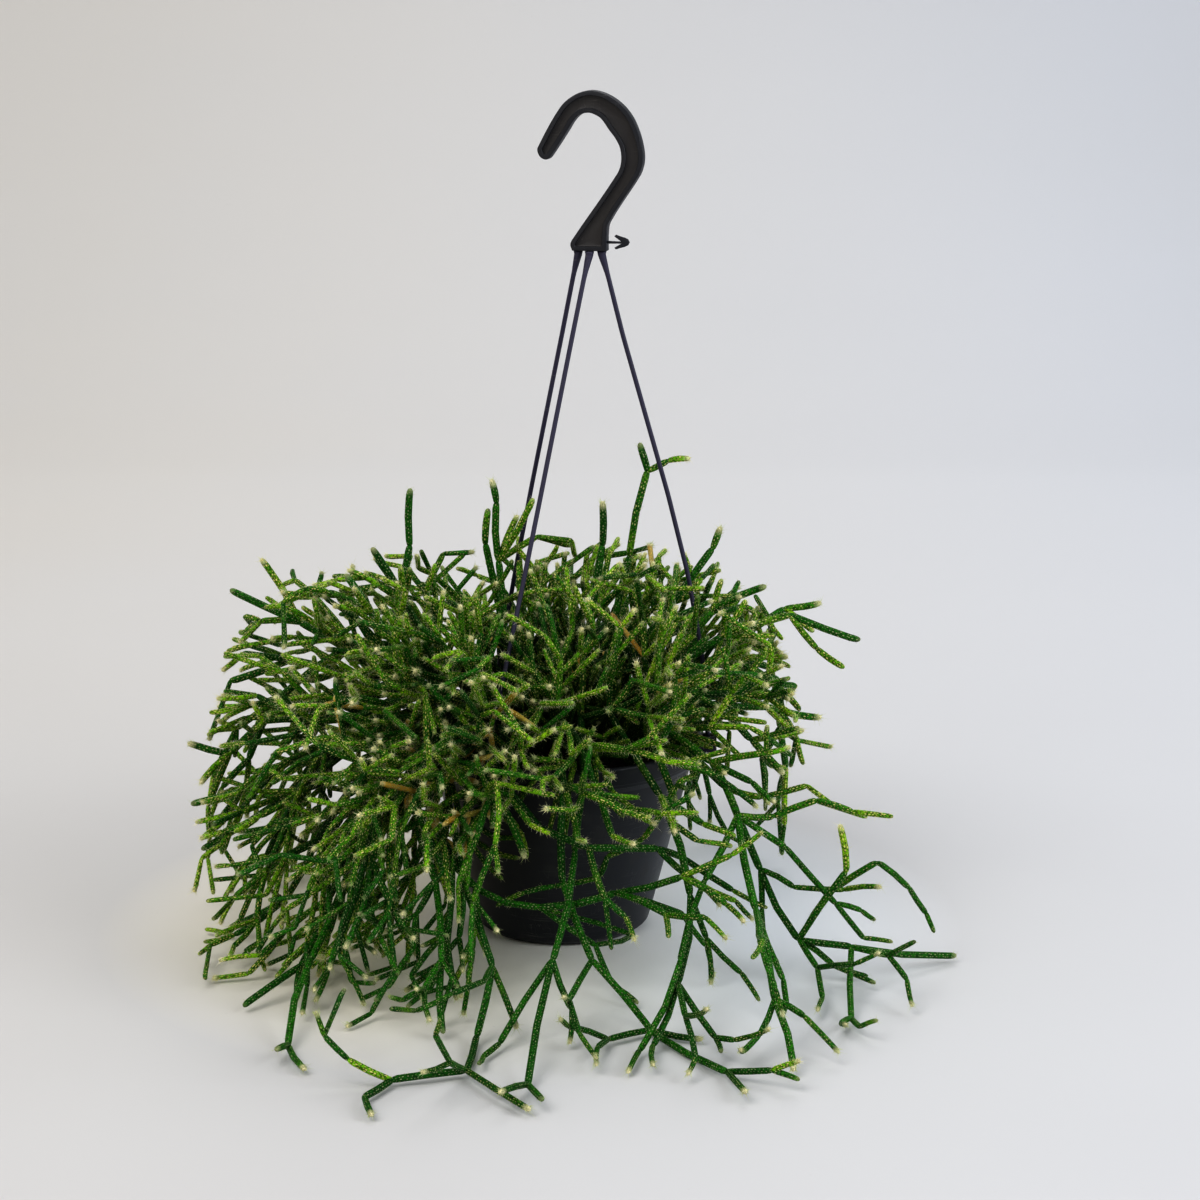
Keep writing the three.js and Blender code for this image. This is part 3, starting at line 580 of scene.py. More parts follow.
def segment_is_free(a, b, reach, joint):
    if not (SPAN_X[0] <= b[0] <= SPAN_X[1] and SPAN_Y[0] <= b[1] <= SPAN_Y[1]):
        return False
    way = minus(b, a)
    steps = math.ceil(length(way) / 4)
    for i in range(1, steps + 1):
        if not point_is_free(ahead(a, way, i / steps), reach):
            return False
    n = placed.count
    near = placed.reach[:n] + reach + STEM_GAP
    shares = (placed.joints[:n, 0] >= 0) & (placed.joints[:n] == joint).any(axis=1)
    if (placed.gaps_to(a, b)[~shares] < near[~shares]).any():
        return False
    if not shares.any():
        return True
    if (placed.ways_from(joint, shares) @ np.array(unit(way)) > least_fork).any():
        return False
    return not (placed.gaps_to(b, b)[shares] < near[shares] + 2).any()


print("is a point in the soil free:", point_is_free([0, 0, SOIL_TOP], STEM_RADII[0]))

# %% Regions of the bush
BUSH_MIDDLE = (-18, 5)
BUSH_LEFT, BUSH_RIGHT, BUSH_FRONT, BUSH_BACK = 205, 168, 175, 165
BUSH_FOOT, BUSH_RISE = 112, 120
TRAIL_MIDDLE, TRAIL_REACH, TRAIL_TOP = (5, -70), (228, 258), 104


def inside_bush(p):
    """Inside the dome, but neither before the pot nor low on its right."""
    x, y, z = p
    u = (x - BUSH_MIDDLE[0]) / (BUSH_LEFT if x < BUSH_MIDDLE[0] else BUSH_RIGHT)
    v = (y - BUSH_MIDDLE[1]) / (BUSH_FRONT if y < BUSH_MIDDLE[1] else BUSH_BACK)
    room = 1 - u * u * u * u - v * v * v * v
    if room <= 0 or z > BUSH_FOOT + BUSH_RISE * math.sqrt(room):
        return False
    if z < 98 and -50 < x < 62 and y < -40:
        return False
    return not (z < 100 and x > 60 and y < 70)


def inside_trail(p):
    """Low and round the plant, where the long stems lie, but not before the pot."""
    u = (p[0] - TRAIL_MIDDLE[0]) / TRAIL_REACH[0]
    v = (p[1] - TRAIL_MIDDLE[1]) / TRAIL_REACH[1]
    if p[2] > 32 and -46 < p[0] < 64 and p[1] > -165:
        return False
    return p[2] < TRAIL_TOP and u * u + v * v < 1


print("top of the dome, mm:", BUSH_FOOT + BUSH_RISE)

# %% [markdown]
# ## Main stems
# A nursery plants a pot with dozens of rooted cuttings, set evenly in the soil, so
# each main stem starts at its own place on a sunflower pattern. The listed
# shoots take the nearest free places, and the rest rise and lean out by the rule.

# %% Lines of the stems
WAY_TRIES, WAY_LOOSENESS = 40, 0.55
joints_made = 0
sprays = []


def lines_now():
    return [(spray, line) for spray in sprays for line in spray]


def add_line(spray, points, radius, order, joint):
    global joints_made
    numbers = [joint]
    if joint < 0:
        numbers = [joints_made]
        joints_made += 1
    for a, b in zip(points, points[1:]):
        numbers.append(joints_made)
        joints_made += 1
        placed.add(a, b, radius * KNOT, numbers[-2], numbers[-1])
    line = {"points": points, "radius": radius, "order": order, "numbers": numbers}
    spray.append(line)
    return line


def grow_through(start, targets, radius, joint):
    reach = radius * KNOT
    points = list(start)
    for target in targets:
        here = points[-1]
        near = joint if len(points) == 1 else -2
        found = None
        for attempt in range(WAY_TRIES):
            loose = attempt * WAY_LOOSENESS
            shift = [dice.between(-loose, loose) for _ in range(3)]
            to = [target[0] + shift[0], target[1] + shift[1], max(target[2] + shift[2], reach + LYING_GAP)]
            if segment_is_free(here, to, reach, near):
                found = to
                break
        if found is None:
            break
        points.append(found)
    return points


print("a way is tried", WAY_TRIES, "times")

# %% Grow the main stems
golden = math.pi * (3 - math.sqrt(5))
root_places = []
for k in range(SPRAY_COUNT):
    r = ROOT_DISC * math.sqrt((k + 0.5) / SPRAY_COUNT)
    root_places.append((r * math.cos(k * golden), r * math.sin(k * golden)))
free_roots = list(range(SPRAY_COUNT))


def above_root(x, y):
    return [[x, y, SOIL_TOP - HOLE_DEPTH + 0.6], [x, y, SOIL_TOP + 7]]


for shoot in SHOOTS:
    x0, y0 = shoot[0][0] * 0.65, shoot[0][1] * 0.65
    near_first = sorted(
        free_roots, key=lambda k: math.hypot(root_places[k][0] - x0, root_places[k][1] - y0))
    root, points = -1, []
    for candidate in near_first[:16]:
        grown = grow_through(above_root(*root_places[candidate]), shoot, STEM_RADII[0], -1)
        if len(grown) > len(points):
            root, points = candidate, grown
        if len(points) == len(shoot) + 2:
            break
    free_roots.remove(root)
    sprays.append([])
    add_line(sprays[-1], points, STEM_RADII[0], 0, -1)

for k, j, *targets in HAND_FORKS:
    main = sprays[k][0]
    if j + 1 >= len(main["points"]):
        continue
    joint = main["numbers"][j + 1]
    points = grow_through([main["points"][j + 1]], targets, STEM_RADII[1], joint)
    if len(points) > 1:
        add_line(sprays[k], points, STEM_RADII[1], 1, joint)

while free_roots:
    x, y = root_places[free_roots.pop(0)]
    out = math.hypot(x, y) / ROOT_DISC
    turn = math.atan2(y, x) + dice.between(-0.3, 0.3)
    rise = 1.45 - 0.75 * out + dice.between(-0.1, 0.1)
    fall = 0.12 + 0.42 * out
    count = math.floor(3 + 3 * out + dice.between(-0.5, 0.9) + 0.5)
    points = above_root(x, y)
    for i in range(count):
        found = None
        for attempt in range(16):
            wobble = 0.12 + attempt * 0.06
            e = rise + dice.between(-wobble, wobble)
            a = turn + dice.between(-wobble, wobble)
            span = dice.between(30, 44)
            way = [math.cos(e) * math.cos(a), math.cos(e) * math.sin(a), math.sin(e)]
            to = ahead(points[-1], way, span)
            if inside_bush(to) and segment_is_free(points[-1], to, STEM_RADII[0] * KNOT, -2):
                found, turn = to, a
                break
        if found is None:
            break
        points.append(found)
        rise -= fall * dice.between(0.7, 1.3)
    sprays.append([])
    add_line(sprays[-1], points, STEM_RADII[0], 0, -1)

print("main stems:", len(sprays), "joints:", joints_made)


# %% [markdown]
# ## Whorls of side branches
# New joints come out in a whorl at the end of the last, so branches are added in
# three rounds, each thinner and shorter than the one that bears it. A direction is
# thrown, tilted up in the dome and outwards lower down, and kept if it is free.

# %% Grow the whorls of side branches
def leaning(at, in_dome):
    """Up and out in the dome, out and down below it, flat along the floor."""
    if in_dome:
        return ahead([0, 0, 0], unit([at[0] + 15, at[1], at[2] - 85]), 0.35)
    out = unit([at[0], at[1], 0])
    return [out[0] * 0.3, out[1] * 0.3, -0.22 if at[2] > 30 else 0]


def add_branches(order, tries, spans, wanted_at):
    radius = STEM_RADII[order]
    reach = radius * KNOT
    bearing = [(spray, line) for spray, line in lines_now() if line["order"] == order - 1]
    for spray, line in bearing:
        n = len(line["points"])
        for j in range(1, n):
            at_tip = j == n - 1
            if not at_tip and order > 1:
                continue
            at = line["points"][j]
            in_dome = at[2] > 118 and abs(at[0]) < 150
            if at[2] < 9 and dice.roll() < 0.3:
                continue
            along = unit(minus(at, line["points"][j - 1]))
            lean = leaning(at, in_dome)
            wanted = wanted_at(at_tip, in_dome)
            made = 0
            for attempt in range(tries):
                if made >= wanted:
                    break
                angle = dice.between(0.35 if at_tip else 0.5, 1.1 if in_dome else 0.85)
                way = turned(along, angle, dice.between(0, 2 * math.pi))
                way = unit(ahead(way, lean, 1))
                to = ahead(at, way, dice.between(spans[0], spans[1]) * (0.92 if in_dome else 1))
                in_region = inside_bush(to) or (not inside_bush(at) and inside_trail(to))
                if not in_region or to[2] < reach + LYING_GAP:
                    continue
                if not segment_is_free(at, to, reach, line["numbers"][j]):
                    continue
                add_line(spray, [at, to], radius, order, line["numbers"][j])
                made += 1


def first_whorl(at_tip, in_dome):
    if at_tip:
        return 3
    return 2 if in_dome or dice.roll() < 0.6 else 1


add_branches(1, 24, (22, 44), first_whorl)
add_branches(2, 22, (16, 36), lambda tip, dome: 2 if dice.roll() < (0.6 if dome else 0.8) else 1)
add_branches(3, 20, (12, 26), lambda tip, dome: 1 if dice.roll() < (0.6 if dome else 0.7) else 0)
print("stems in all:", len(lines_now()), "stretches:", placed.count)

# %% [markdown]
# ## Late shoots
# The solids stop here, at their limit of faces. The real bush is closer still, so
# tips and joints bear more short, slim shoots, most of them on the crown. A few
# long ones hang before the pot along listed routes, and some fall in an arc on the
# left. A small bunch beside the pot has withered to straw.

# %% Rule for late shoots
LATE_ORDER = 4
LATE_RADIUS = 1.65
LATE_KNOT = 1.1
LATE_FORK = 15
DRY_PLACE, DRY_REACH = (-64, -96, 116), 40
CROWN_SHARE, UPPER_SHARE, MIDDLE_SHARE = 0.8, 0.15, 0.12
LEFT_SHARE, LEFT_LOW_SHARE = 0.42, 0.12
LATE_SEED = 5
late = Dice(LATE_SEED)


def add_late_shoots(lines, tries, spans, wanted_at, marks=()):
    """Grow short shoots at the joints of the lines, as many as wanted_at asks for."""
    made_in_all = 0
    reach = LATE_RADIUS * LATE_KNOT
    for spray, line in lines:
        for j in range(1, len(line["points"])):
            at = line["points"][j]
            along = unit(minus(at, line["points"][j - 1]))
            lean = leaning(at, at[2] > 118)
            wanted = wanted_at(at)
            made = 0
            for attempt in range(tries):
                if made >= wanted:
                    break
                way = turned(along, late.between(0.45, 1.35), late.between(0, 2 * math.pi))
                way = unit(ahead(way, lean, 0.8))
                to = ahead(at, way, late.between(*spans))
                in_region = inside_bush(to) or inside_trail(to)
                if not in_region or to[2] < reach + LYING_GAP or before_pot(to):
                    continue
                if segment_is_free(at, to, reach, line["numbers"][j]):
                    shoot = add_line(spray, [at, to], LATE_RADIUS, LATE_ORDER, line["numbers"][j])
                    shoot.update(marks)
                    made += 1
            made_in_all += made
    return made_in_all


def late_share(at):
    """How many late shoots a joint bears: most on the crown, none on the long trails."""
    share = 0
    if at[2] > 112 and abs(at[0]) < 130:
        share = CROWN_SHARE
    elif at[0] < -60:
        share = LEFT_SHARE if at[2] > 25 else LEFT_LOW_SHARE
    elif at[2] > 100:
        share = UPPER_SHARE
    elif at[2] > 60 and at[0] < 60:
        share = MIDDLE_SHARE
    return 1 if late.roll() < share else 0


def before_pot(at):
    """The window through which the pot is seen."""
    return -20 < at[0] < 90 and at[1] < -60 and at[2] < 120


def every_joint():
    """Place, number and spray of every joint that can bear a stem."""
    return [(line["points"][j], line["numbers"][j], number) for number, spray in enumerate(sprays)
            for line in spray for j in range(1, len(line["points"]))]


print("joints that may bear late shoots:", len(every_joint()))

# %% Stems that hang before the pot
# Each row: radius, haze of wool, points.
LATE_ROUTES = [
    (2.5, 0.9, [[-63, -92, 133], [-54, -97, 120], [-38, -100, 106], [-25, -98, 89], [-20, -92, 69]]),
    (2.0, 0.0, [[-47, -94, 136], [-28, -110, 90], [-11, -114, 81], [12, -114, 65], [25, -111, 63]]),
    (1.9, 0.0, [[77, -84, 121], [59, -96, 113], [49, -102, 88], [28, -103, 74]]),
    (1.9, 0.0, [[22, -106, 62], [-3, -107, 57], [-21, -107, 53], [-38, -105, 44]]),
    (1.8, 0.0, [[42, -96, 23], [0, -98, 37], [-32, -96, 42]]),
    (1.9, 0.4, [[-62, -90, 111], [-51, -96, 78], [-34, -92, 56]]),
    (1.8, 0.0, [[-54, -85, 94], [-39, -82, 79], [-24, -84, 79]]),
    (1.8, 0.0, [[-57, -85, 81], [-43, -80, 71], [-24, -82, 66]]),
    (1.9, 0.0, [[7, -100, 129], [5, -103, 115], [1, -98, 78]]),
    (1.8, 0.0, [[-7, -98, 126], [-2, -100, 113], [-7, -97, 86]]),
    (1.8, 0.3, [[15, -98, 129], [19, -100, 115], [28, -98, 98]]),
    (1.8, 0.0, [[22, -96, 128], [31, -100, 113], [51, -98, 97]]),
    (1.9, 0.0, [[-71, -86, 153], [-67, -100, 126], [-70, -104, 96], [-64, -100, 59]]),
    (1.9, 0.0, [[-82, -90, 166], [-78, -106, 134], [-75, -108, 110]]),
    (1.8, 0.0, [[-53, -80, 163], [-57, -98, 141], [-70, -108, 122]]),
    (1.8, 0.5, [[-24, -82, 151], [-32, -98, 129], [-41, -100, 114]]),
    (1.8, 0.0, [[0, -84, 143], [-9, -98, 126], [-23, -98, 107]]),
]
least_fork = math.cos(math.radians(LATE_FORK))
for radius, haze, targets in LATE_ROUTES:
    joints = [(length(minus(start, targets[0])), joint, number, start)
              for start, joint, number in every_joint()]
    points = []
    for away, joint, number, start in sorted(joints)[:12]:
        ahead_of = targets[1:] if away < 6 else targets
        grown = grow_through([start], ahead_of, radius, joint)
        if len(grown) > len(points):
            points, home = grown, (number, joint)
        if len(points) == len(ahead_of) + 1:
            break
    if len(points) > 1:
        add_line(sprays[home[0]], points, radius, 3, home[1])["haze"] = haze
    print("late route:", len(points), "of", len(targets) + 1, "points")

# %% Stems that fall in an arc on the left
# Points of the arc: distance from the pot's middle, height.
FALL = ((118, 130), (140, 100), (152, 66), (160, 34), (166, 10))


def falling_route():
    angle = math.radians(late.between(150, 258))
    wide = late.between(0.75, 1.3)
    route = []
    for r, z in FALL:
        x = wide * r * math.cos(angle) + late.between(-8, 8)
        y = wide * r * math.sin(angle) + late.between(-8, 8)
        route.append([x, y, z + late.between(-6, 6)])
    return route


def hang_late_stems(count):
    """Long slim stems that fall in an arc from the left of the crown to the floor."""
    joints = [item for item in every_joint() if item[0][2] > 100]
    radius = LATE_RADIUS * LATE_KNOT
    made = 0
    for k in range(count):
        route = falling_route()
        points = []
        for start, joint, number in sorted(joints, key=lambda item: length(minus(item[0], route[0])))[:8]:
            grown = grow_through([start], route, radius, joint)
            if len(grown) > len(points):
                points, home = grown, (number, joint)
        if len(points) > 3:
            add_line(sprays[home[0]], points, radius, 3, home[1])
            made += 1
    return made


def withered_share(at):
    return 4 if length(minus(at, DRY_PLACE)) < DRY_REACH else 0


FALLING_STEMS = 14
DRY_SPANS = (8, 16)
print("dry shoots:", add_late_shoots(lines_now(), 24, DRY_SPANS, withered_share, {"dry": True}))
print("late hanging stems:", hang_late_stems(FALLING_STEMS))

# %% Short shoots on the crown and inside the bush
LATE_SPANS, INNER_SPANS = (18, 42), (14, 32)


def in_crown(p):
    return p[2] > 108 and math.hypot(p[0], p[1]) < 95


def in_left_skirt(p):
    return -185 < p[0] < -60 and 35 < p[2] < 150


def inner_share(at):
    return at[2] < 160 and late.roll() < 0.55


print("late shoots:", add_late_shoots(lines_now(), 16, LATE_SPANS, late_share))
dome_lines = [item for item in lines_now() if in_crown(item[1]["points"][0])]
dome_lines += [item for item in lines_now() if in_left_skirt(item[1]["points"][0])]
print("inner shoots:", add_late_shoots(dome_lines, 14, INNER_SPANS, inner_share))


# %% [markdown]
# ## Centre lines of the joints
# Each joint of the stem is a slim cylinder with rounded ends, a little narrower
# where it meets the next. A bent tube could be modelled by hand, but there are
# over a thousand joints, so each is a short row of points that carries its own
# values: thickness, distance along the stem, age and tint. A tube then follows
# every row by one rule. The rows bend softly towards their neighbours.

# %% Bends and depth in the bush
LOOKS_SEED = 77
looks = Dice(LOOKS_SEED)


def toward(a, b, share):
    return [a[i] + (b[i] - a[i]) * share for i in range(3)]


def hermite(a, b, ta, tb, t):
    size = length(minus(b, a))
    h1, h2 = t * (1 - t) * (1 - t) * size, t * t * (t - 1) * size
    s = t * t * (3 - 2 * t)
    return [a[i] + (b[i] - a[i]) * s + ta[i] * h1 + tb[i] * h2 for i in range(3)]


# Hearts of the bush, where the stems carry painted shade: middle, reach along each axis, strength.
CORES = [((-12, 5, 105), (140, 130, 92), 1), ((-115, -15, 85), (85, 90, 80), 0.6)]


def depth_in_core(p):
    """1 in the middle of the bush, 0 at its face and below 0 outside."""
    return max(share * (1 - sum(((p[i] - place[i]) / reach[i]) ** 2 for i in range(3)))
               for place, reach, share in CORES)


print("depth in the bush above the pot:", round(depth_in_core((0, 0, 130)), 2))

# %% Values that a joint carries
BOW_SIZES = (0.05, 0.2)
LATE_YOUTH = (0.1, 0.85)
WITHERED_CHANCE, WITHERED_ABOVE = 0.012, 125
PLAIN_CHANCE, PLAIN_LATE_CHANCE = 0.5, 0.65
PLAIN_TIPS, WOOLLY_TIPS = (0.15, 0.45), (0.75, 1)
HAZY_CHANCE, HAZY_AGE = 0.035, 0.9
BARE_CORE = 0.3


def end_directions(points, i):
    """Soft bends towards the neighbours, with a slight bow of the joint's own."""
    a, b = points[i], points[i + 1]
    chord = unit(minus(b, a))
    before = unit(minus(b, points[i - 1])) if i > 0 else chord
    after = unit(minus(points[i + 2], a)) if i < len(points) - 2 else chord
    bow = turned(chord, math.pi / 2, looks.between(0, 2 * math.pi))
    bow_size = looks.between(*BOW_SIZES)
    return (unit(ahead(toward(chord, before, 0.5), bow, bow_size)),
            unit(ahead(toward(chord, after, 0.5), bow, -bow_size)))


def joint_youth(order, free, share, end):
    """From 0, old and dark, to 1, this year's growth. Low trails are the oldest."""
    youth = min(1, 0.12 * order + 0.35 * (free and order > 0) + 0.15 * share + looks.between(-0.12, 0.25))
    if order == LATE_ORDER:
        youth = looks.between(*LATE_YOUTH)
    if end[0] > -60 or end[1] < -140:
        youth *= min(1, max(0.3, (end[2] - 10) / 105))
    return max(0, youth)


def stretch_rows():
    """Every joint as its two ends, end directions, radius, age and kind of tip."""
    rows = []
    for number, spray in enumerate(sprays):
        starts = {line["numbers"][0] for line in spray if line["order"] > 0}
        spray_tint = looks.between(-1, 1)
        for line in spray:
            points, order = line["points"], line["order"]
            last = len(points) - 2
            for i in range(last + 1):
                a, b = points[i], points[i + 1]
                ta, tb = end_directions(points, i)
                free = i == last and line["numbers"][-1] not in starts
                youth = joint_youth(order, free, (i + 1) / (last + 1) if order == 0 else 1, b)
                dry = looks.between(0.6, 1) if line.get("dry") or looks.roll() < WITHERED_CHANCE else 0
                withers = order > 1 and free and (line.get("dry") or b[2] > WITHERED_ABOVE)
                core = depth_in_core([0.5 * (a[i] + b[i]) for i in range(3)])
                plain = looks.roll() < (PLAIN_LATE_CHANCE if order == LATE_ORDER else PLAIN_CHANCE)
                woolly = looks.between(*(PLAIN_TIPS if plain else WOOLLY_TIPS))
                haze = max(line.get("haze", 0), HAZY_AGE if looks.roll() < HAZY_CHANCE else 0)
                rows.append({"a": a, "b": b, "ta": ta, "tb": tb, "radius": line["radius"], "spray": number,
                             "free": free, "youth": youth, "order": order, "haze": haze,
                             "dry": dry if withers else 0, "core": max(0, core),
                             "woolly": woolly * (1 if core < BARE_CORE else 0.3),
                             "tint": 0.55 * spray_tint + looks.between(-0.6, 0.6)})
    return rows


rows = stretch_rows()
print("joints of stem:", len(rows), "free tips:", sum(row["free"] for row in rows))


# %% [markdown]
# ## From rows to edges
# A tube rule needs a line to follow and a thickness at each point. So every joint
# becomes a few edges: it starts inside the last joint, narrows at the knot, keeps
# its width and ends round. The wool and age at each point go along as attributes.

# %% Turn the rows into one mesh of edges
WOOL_REACH = 2.9


def joint_profile(row):
    """Places along a joint, in millimetres from its start, and the radius there."""
    r = row["radius"] * (0.9 if row["b"][2] < 60 else 1)
    size = length(minus(row["b"], row["a"]))
    slim = 0.9 if row["free"] and row["order"] > 1 else 1.0
    marks = [(-0.42 * r, 0.0), (-0.2 * r, 0.5 * r), (0.35 * r, 0.8 * r), (1.6 * r, 0.94 * r),
             (0.5 * size, slim * r)]
    if row["order"] == LATE_ORDER:
        return [(-0.5 * r, 0.0), (-0.2 * r, 0.55 * r), (0.8 * r, 0.88 * r), (size - 3.0 * r, r),
                (size - 0.7 * r, 0.8 * r), (size - 0.2 * r, 0.45 * r), (size, 0.0)], size
    if row["free"]:
        marks += [(size - 3.0 * r, 0.96 * slim * r), (size - 1.7 * r, 0.92 * slim * r),
                  (size - 0.85 * r, 0.8 * slim * r), (size - 0.25 * r, 0.5 * slim * r), (size, 0.0)]
    else:
        marks += [(size - 1.6 * r, 0.98 * r), (size - 0.55 * r, 0.85 * r),
                  (size + 0.05 * r, 0.55 * r), (size + 0.3 * r, 0.0)]
    return marks, size


def edge_mesh(name, rows):
    points, edges, sides = [], [], []
    values = {key: [] for key in ("thickness", "along", "youth", "tint", "dry", "wool", "tip", "core")}
    for row in rows:
        marks, size = joint_profile(row)
        chord = unit(minus(row["b"], row["a"]))
        side = turned(chord, math.pi / 2, looks.between(0, 2 * math.pi))
        offset = 13 * round(looks.between(0, 40))
        for k, (s, thick) in enumerate(marks):
            t = min(max(s / size, 0), 1)
            p = hermite(row["a"], row["b"], row["ta"], row["tb"], t)
            if s < 0:
                p = ahead(row["a"], row["ta"], s)
            if s > size:
                p = ahead(row["b"], row["tb"], s - size)
            p[2] = max(p[2], thick + 0.1)
            if k:
                edges.append((len(points) - 1, len(points)))
            points.append([v * MM for v in p])
            sides.append(side)
            values["thickness"].append(thick * MM)
            values["along"].append((s + offset) * MM)
            values["youth"].append(max(row["youth"], row["haze"]))
            values["tint"].append(row["tint"])
            values["dry"].append(row["dry"])
            near_end = max(0, 1 - (size - s) / (WOOL_REACH * row["radius"])) if row["free"] else 0
            values["wool"].append(near_end * row["woolly"])
            values["core"].append(row["core"])
            values["tip"].append(row["woolly"] if row["free"] and k == len(marks) - 1 else 0)
    mesh = bpy.data.meshes.new(name)
    mesh.from_pydata(points, edges, [])
    for key, numbers in values.items():
        mesh.attributes.new(key, "FLOAT", "POINT").data.foreach_set("value", numbers)
    flat = [v for side in sides for v in side]
    mesh.attributes.new("side", "FLOAT_VECTOR", "POINT").data.foreach_set("vector", flat)
    return in_scene(name, mesh)


groups = {f"stems_{k + 1}": [row for row in rows if row["spray"] % 3 == k] for k in range(3)}
centre_lines = {name: edge_mesh(name + "_lines", part) for name, part in groups.items()}
print({name: len(obj.data.edges) for name, obj in centre_lines.items()})


# %% [markdown]
# ## The green skin
# The real skin is deep green on old joints and yellow green on young ones. Eight
# rows of tiny woolly cushions, the areoles, wind round each joint, 2.3 mm apart,
# each a cream dot with fine bristles. They are painted by a rule on the tube's
# own map, so the dots follow every bend, and the bristles later stand on them.

# %% Areole pattern as a node group
AREOLE_ROWS = 8
AREOLE_STEP = 2.3 * MM
DOT_RADII = (0.32 * MM, 0.44 * MM)


def group_with(name, inputs, outputs):
    group = bpy.data.node_groups.new(name, "ShaderNodeTree")
    for label, kind, value in inputs:
        socket = group.interface.new_socket(label, in_out="INPUT", socket_type=kind)
        socket.default_value = value
    for label, kind in outputs:
        group.interface.new_socket(label, in_out="OUTPUT", socket_type=kind)
    tree = Tree(group)
    return group, tree, tree.add("NodeGroupInput").outputs, tree.add("NodeGroupOutput")


FLOAT, VECTOR = "NodeSocketFloat", "NodeSocketVector"
areoles, tree, given, out = group_with(
    "areole_rows", [("Map", VECTOR, (0, 0, 0)), ("Rows", FLOAT, 8.0), ("Step", FLOAT, 0.0023),
                    ("Row Width", FLOAT, 0.0016), ("Dot Radius", FLOAT, 0.00052)],
    [("Dot", FLOAT), ("Ring", FLOAT), ("Random", FLOAT)])
split = tree.split(given["Map"])
a = tree.times(split["X"], given["Rows"])
row = tree.math("FLOOR", a)
shift = tree.times(tree.plus(row, 0.5), 3 / AREOLE_ROWS)
b = tree.plus(tree.math("DIVIDE", split["Y"], given["Step"]), shift)
cell = tree.add("ShaderNodeCombineXYZ", {"X": row, "Y": tree.math("FLOOR", b)})
noise = tree.add("ShaderNodeTexWhiteNoise", {"Vector": cell.outputs[0]}, noise_dimensions="3D")
random, jitter = noise.outputs["Value"], tree.split(noise.outputs["Color"])
across = tree.less(tree.math("FRACT", a), tree.ramp(jitter["X"], 0, 1, 0.25, 0.75))
across = tree.times(across, given["Row Width"])
up = tree.less(tree.math("FRACT", b), tree.ramp(jitter["Y"], 0, 1, 0.22, 0.78))
up = tree.times(up, tree.times(given["Step"], 0.62))
away = tree.math("SQRT", tree.plus(tree.times(across, across), tree.times(up, up)))
size = tree.times(given["Dot Radius"], tree.ramp(random, 0, 1, 0.35, 1.3))
ratio = tree.math("DIVIDE", away, size)
tree.set(out, "Dot", tree.ramp(ratio, 1.15, 0.75))
tree.set(out, "Ring", tree.times(tree.ramp(ratio, 2.3, 1.3), tree.ramp(ratio, 0.9, 1.2)))
tree.set(out, "Random", random)
print("areoles on one metre of stem:", round(AREOLE_ROWS / AREOLE_STEP))

# %% Stem material
OLD_GREENS = ((0.008, 0.088, 0.008, 1), (0.032, 0.215, 0.007, 1))
YOUNG_GREENS = ((0.16, 0.54, 0.010, 1), (0.40, 0.70, 0.020, 1))
DEEP_GREEN, GRAINY_GREEN = (0.003, 0.022, 0.003, 1), (0.04, 0.12, 0.012, 1)
SHADED_GREEN = (0.003, 0.014, 0.003, 1)
STRAW = ((0.60, 0.30, 0.05, 1), (0.85, 0.60, 0.18, 1))
# DOT_RING is painted shade: the dark of the shallow pit round each areole.
WOOL_CREAM, DOT_RING = (0.92, 0.84, 0.52, 1), (0.012, 0.035, 0.008, 1)
DOT_CREAMS, OLD_DOT = ((0.36, 0.36, 0.03, 1), (0.88, 0.76, 0.30, 1)), (0.34, 0.40, 0.20, 1)
stem_skin, tree, shader = new_material("stem_skin")
place = tree.object_place()
value = {key: tree.carried(key)
         for key in ("youth", "tint", "dry", "wool", "core")}
stem_map = tree.add("ShaderNodeUVMap", uv_map="stem_map").outputs["UV"]
dots = tree.add("ShaderNodeGroup", {}, node_tree=areoles)
tree.set(dots, "Map", stem_map)
dots.inputs["Rows"].default_value = AREOLE_ROWS
dots.inputs["Step"].default_value = AREOLE_STEP
tree.set(dots, "Dot Radius", tree.ramp(value["youth"], 0.1, 0.7, *DOT_RADII))
dots = dots.outputs
patches = tree.noise(place, 45.0, 3.0)
grain = tree.noise(place, 1400.0, 3.0)
green = tree.mix(tree.ramp(value["tint"], -1, 1), *OLD_GREENS)
young = tree.mix(tree.ramp(patches, 0.3, 0.7), *YOUNG_GREENS)
freshness = tree.plus(value["youth"], tree.ramp(patches, 0.3, 0.7, -0.18, 0.18))
green = tree.mix(tree.ramp(freshness, 0.25, 1.0), green, young)
mottle = tree.noise(place, 620.0, 3.0)
green = tree.mix(tree.ramp(mottle, 0.56, 0.42, 0.0, 0.75), green, DEEP_GREEN)
green = tree.mix(tree.ramp(grain, 0.35, 0.7, 0.0, 0.2), green, GRAINY_GREEN)
straw = tree.mix(tree.ramp(patches, 0.4, 0.6), *STRAW)
# Painted shade: stems deep in the bush are darkened towards SHADED_GREEN, as if shaded by the stems around
# them.
shade = tree.ramp(value["core"], 0.0, 0.55, 0.0, 0.75)
green = tree.mix(shade, green, SHADED_GREEN)
green = tree.mix(tree.times(value["dry"], 0.85), green, straw)
green = tree.mix(tree.ramp(value["wool"], 0.1, 0.85, 0.0, 0.95), green, WOOL_CREAM)
# Painted shade: a dark ring round each areole, as in the shallow pit that it sits in.
green = tree.mix(tree.times(dots["Ring"], 0.6), green, DOT_RING)
cream = tree.mix(dots["Random"], *DOT_CREAMS)
cream = tree.mix(tree.ramp(value["youth"], 0.5, 0.15), cream, OLD_DOT)
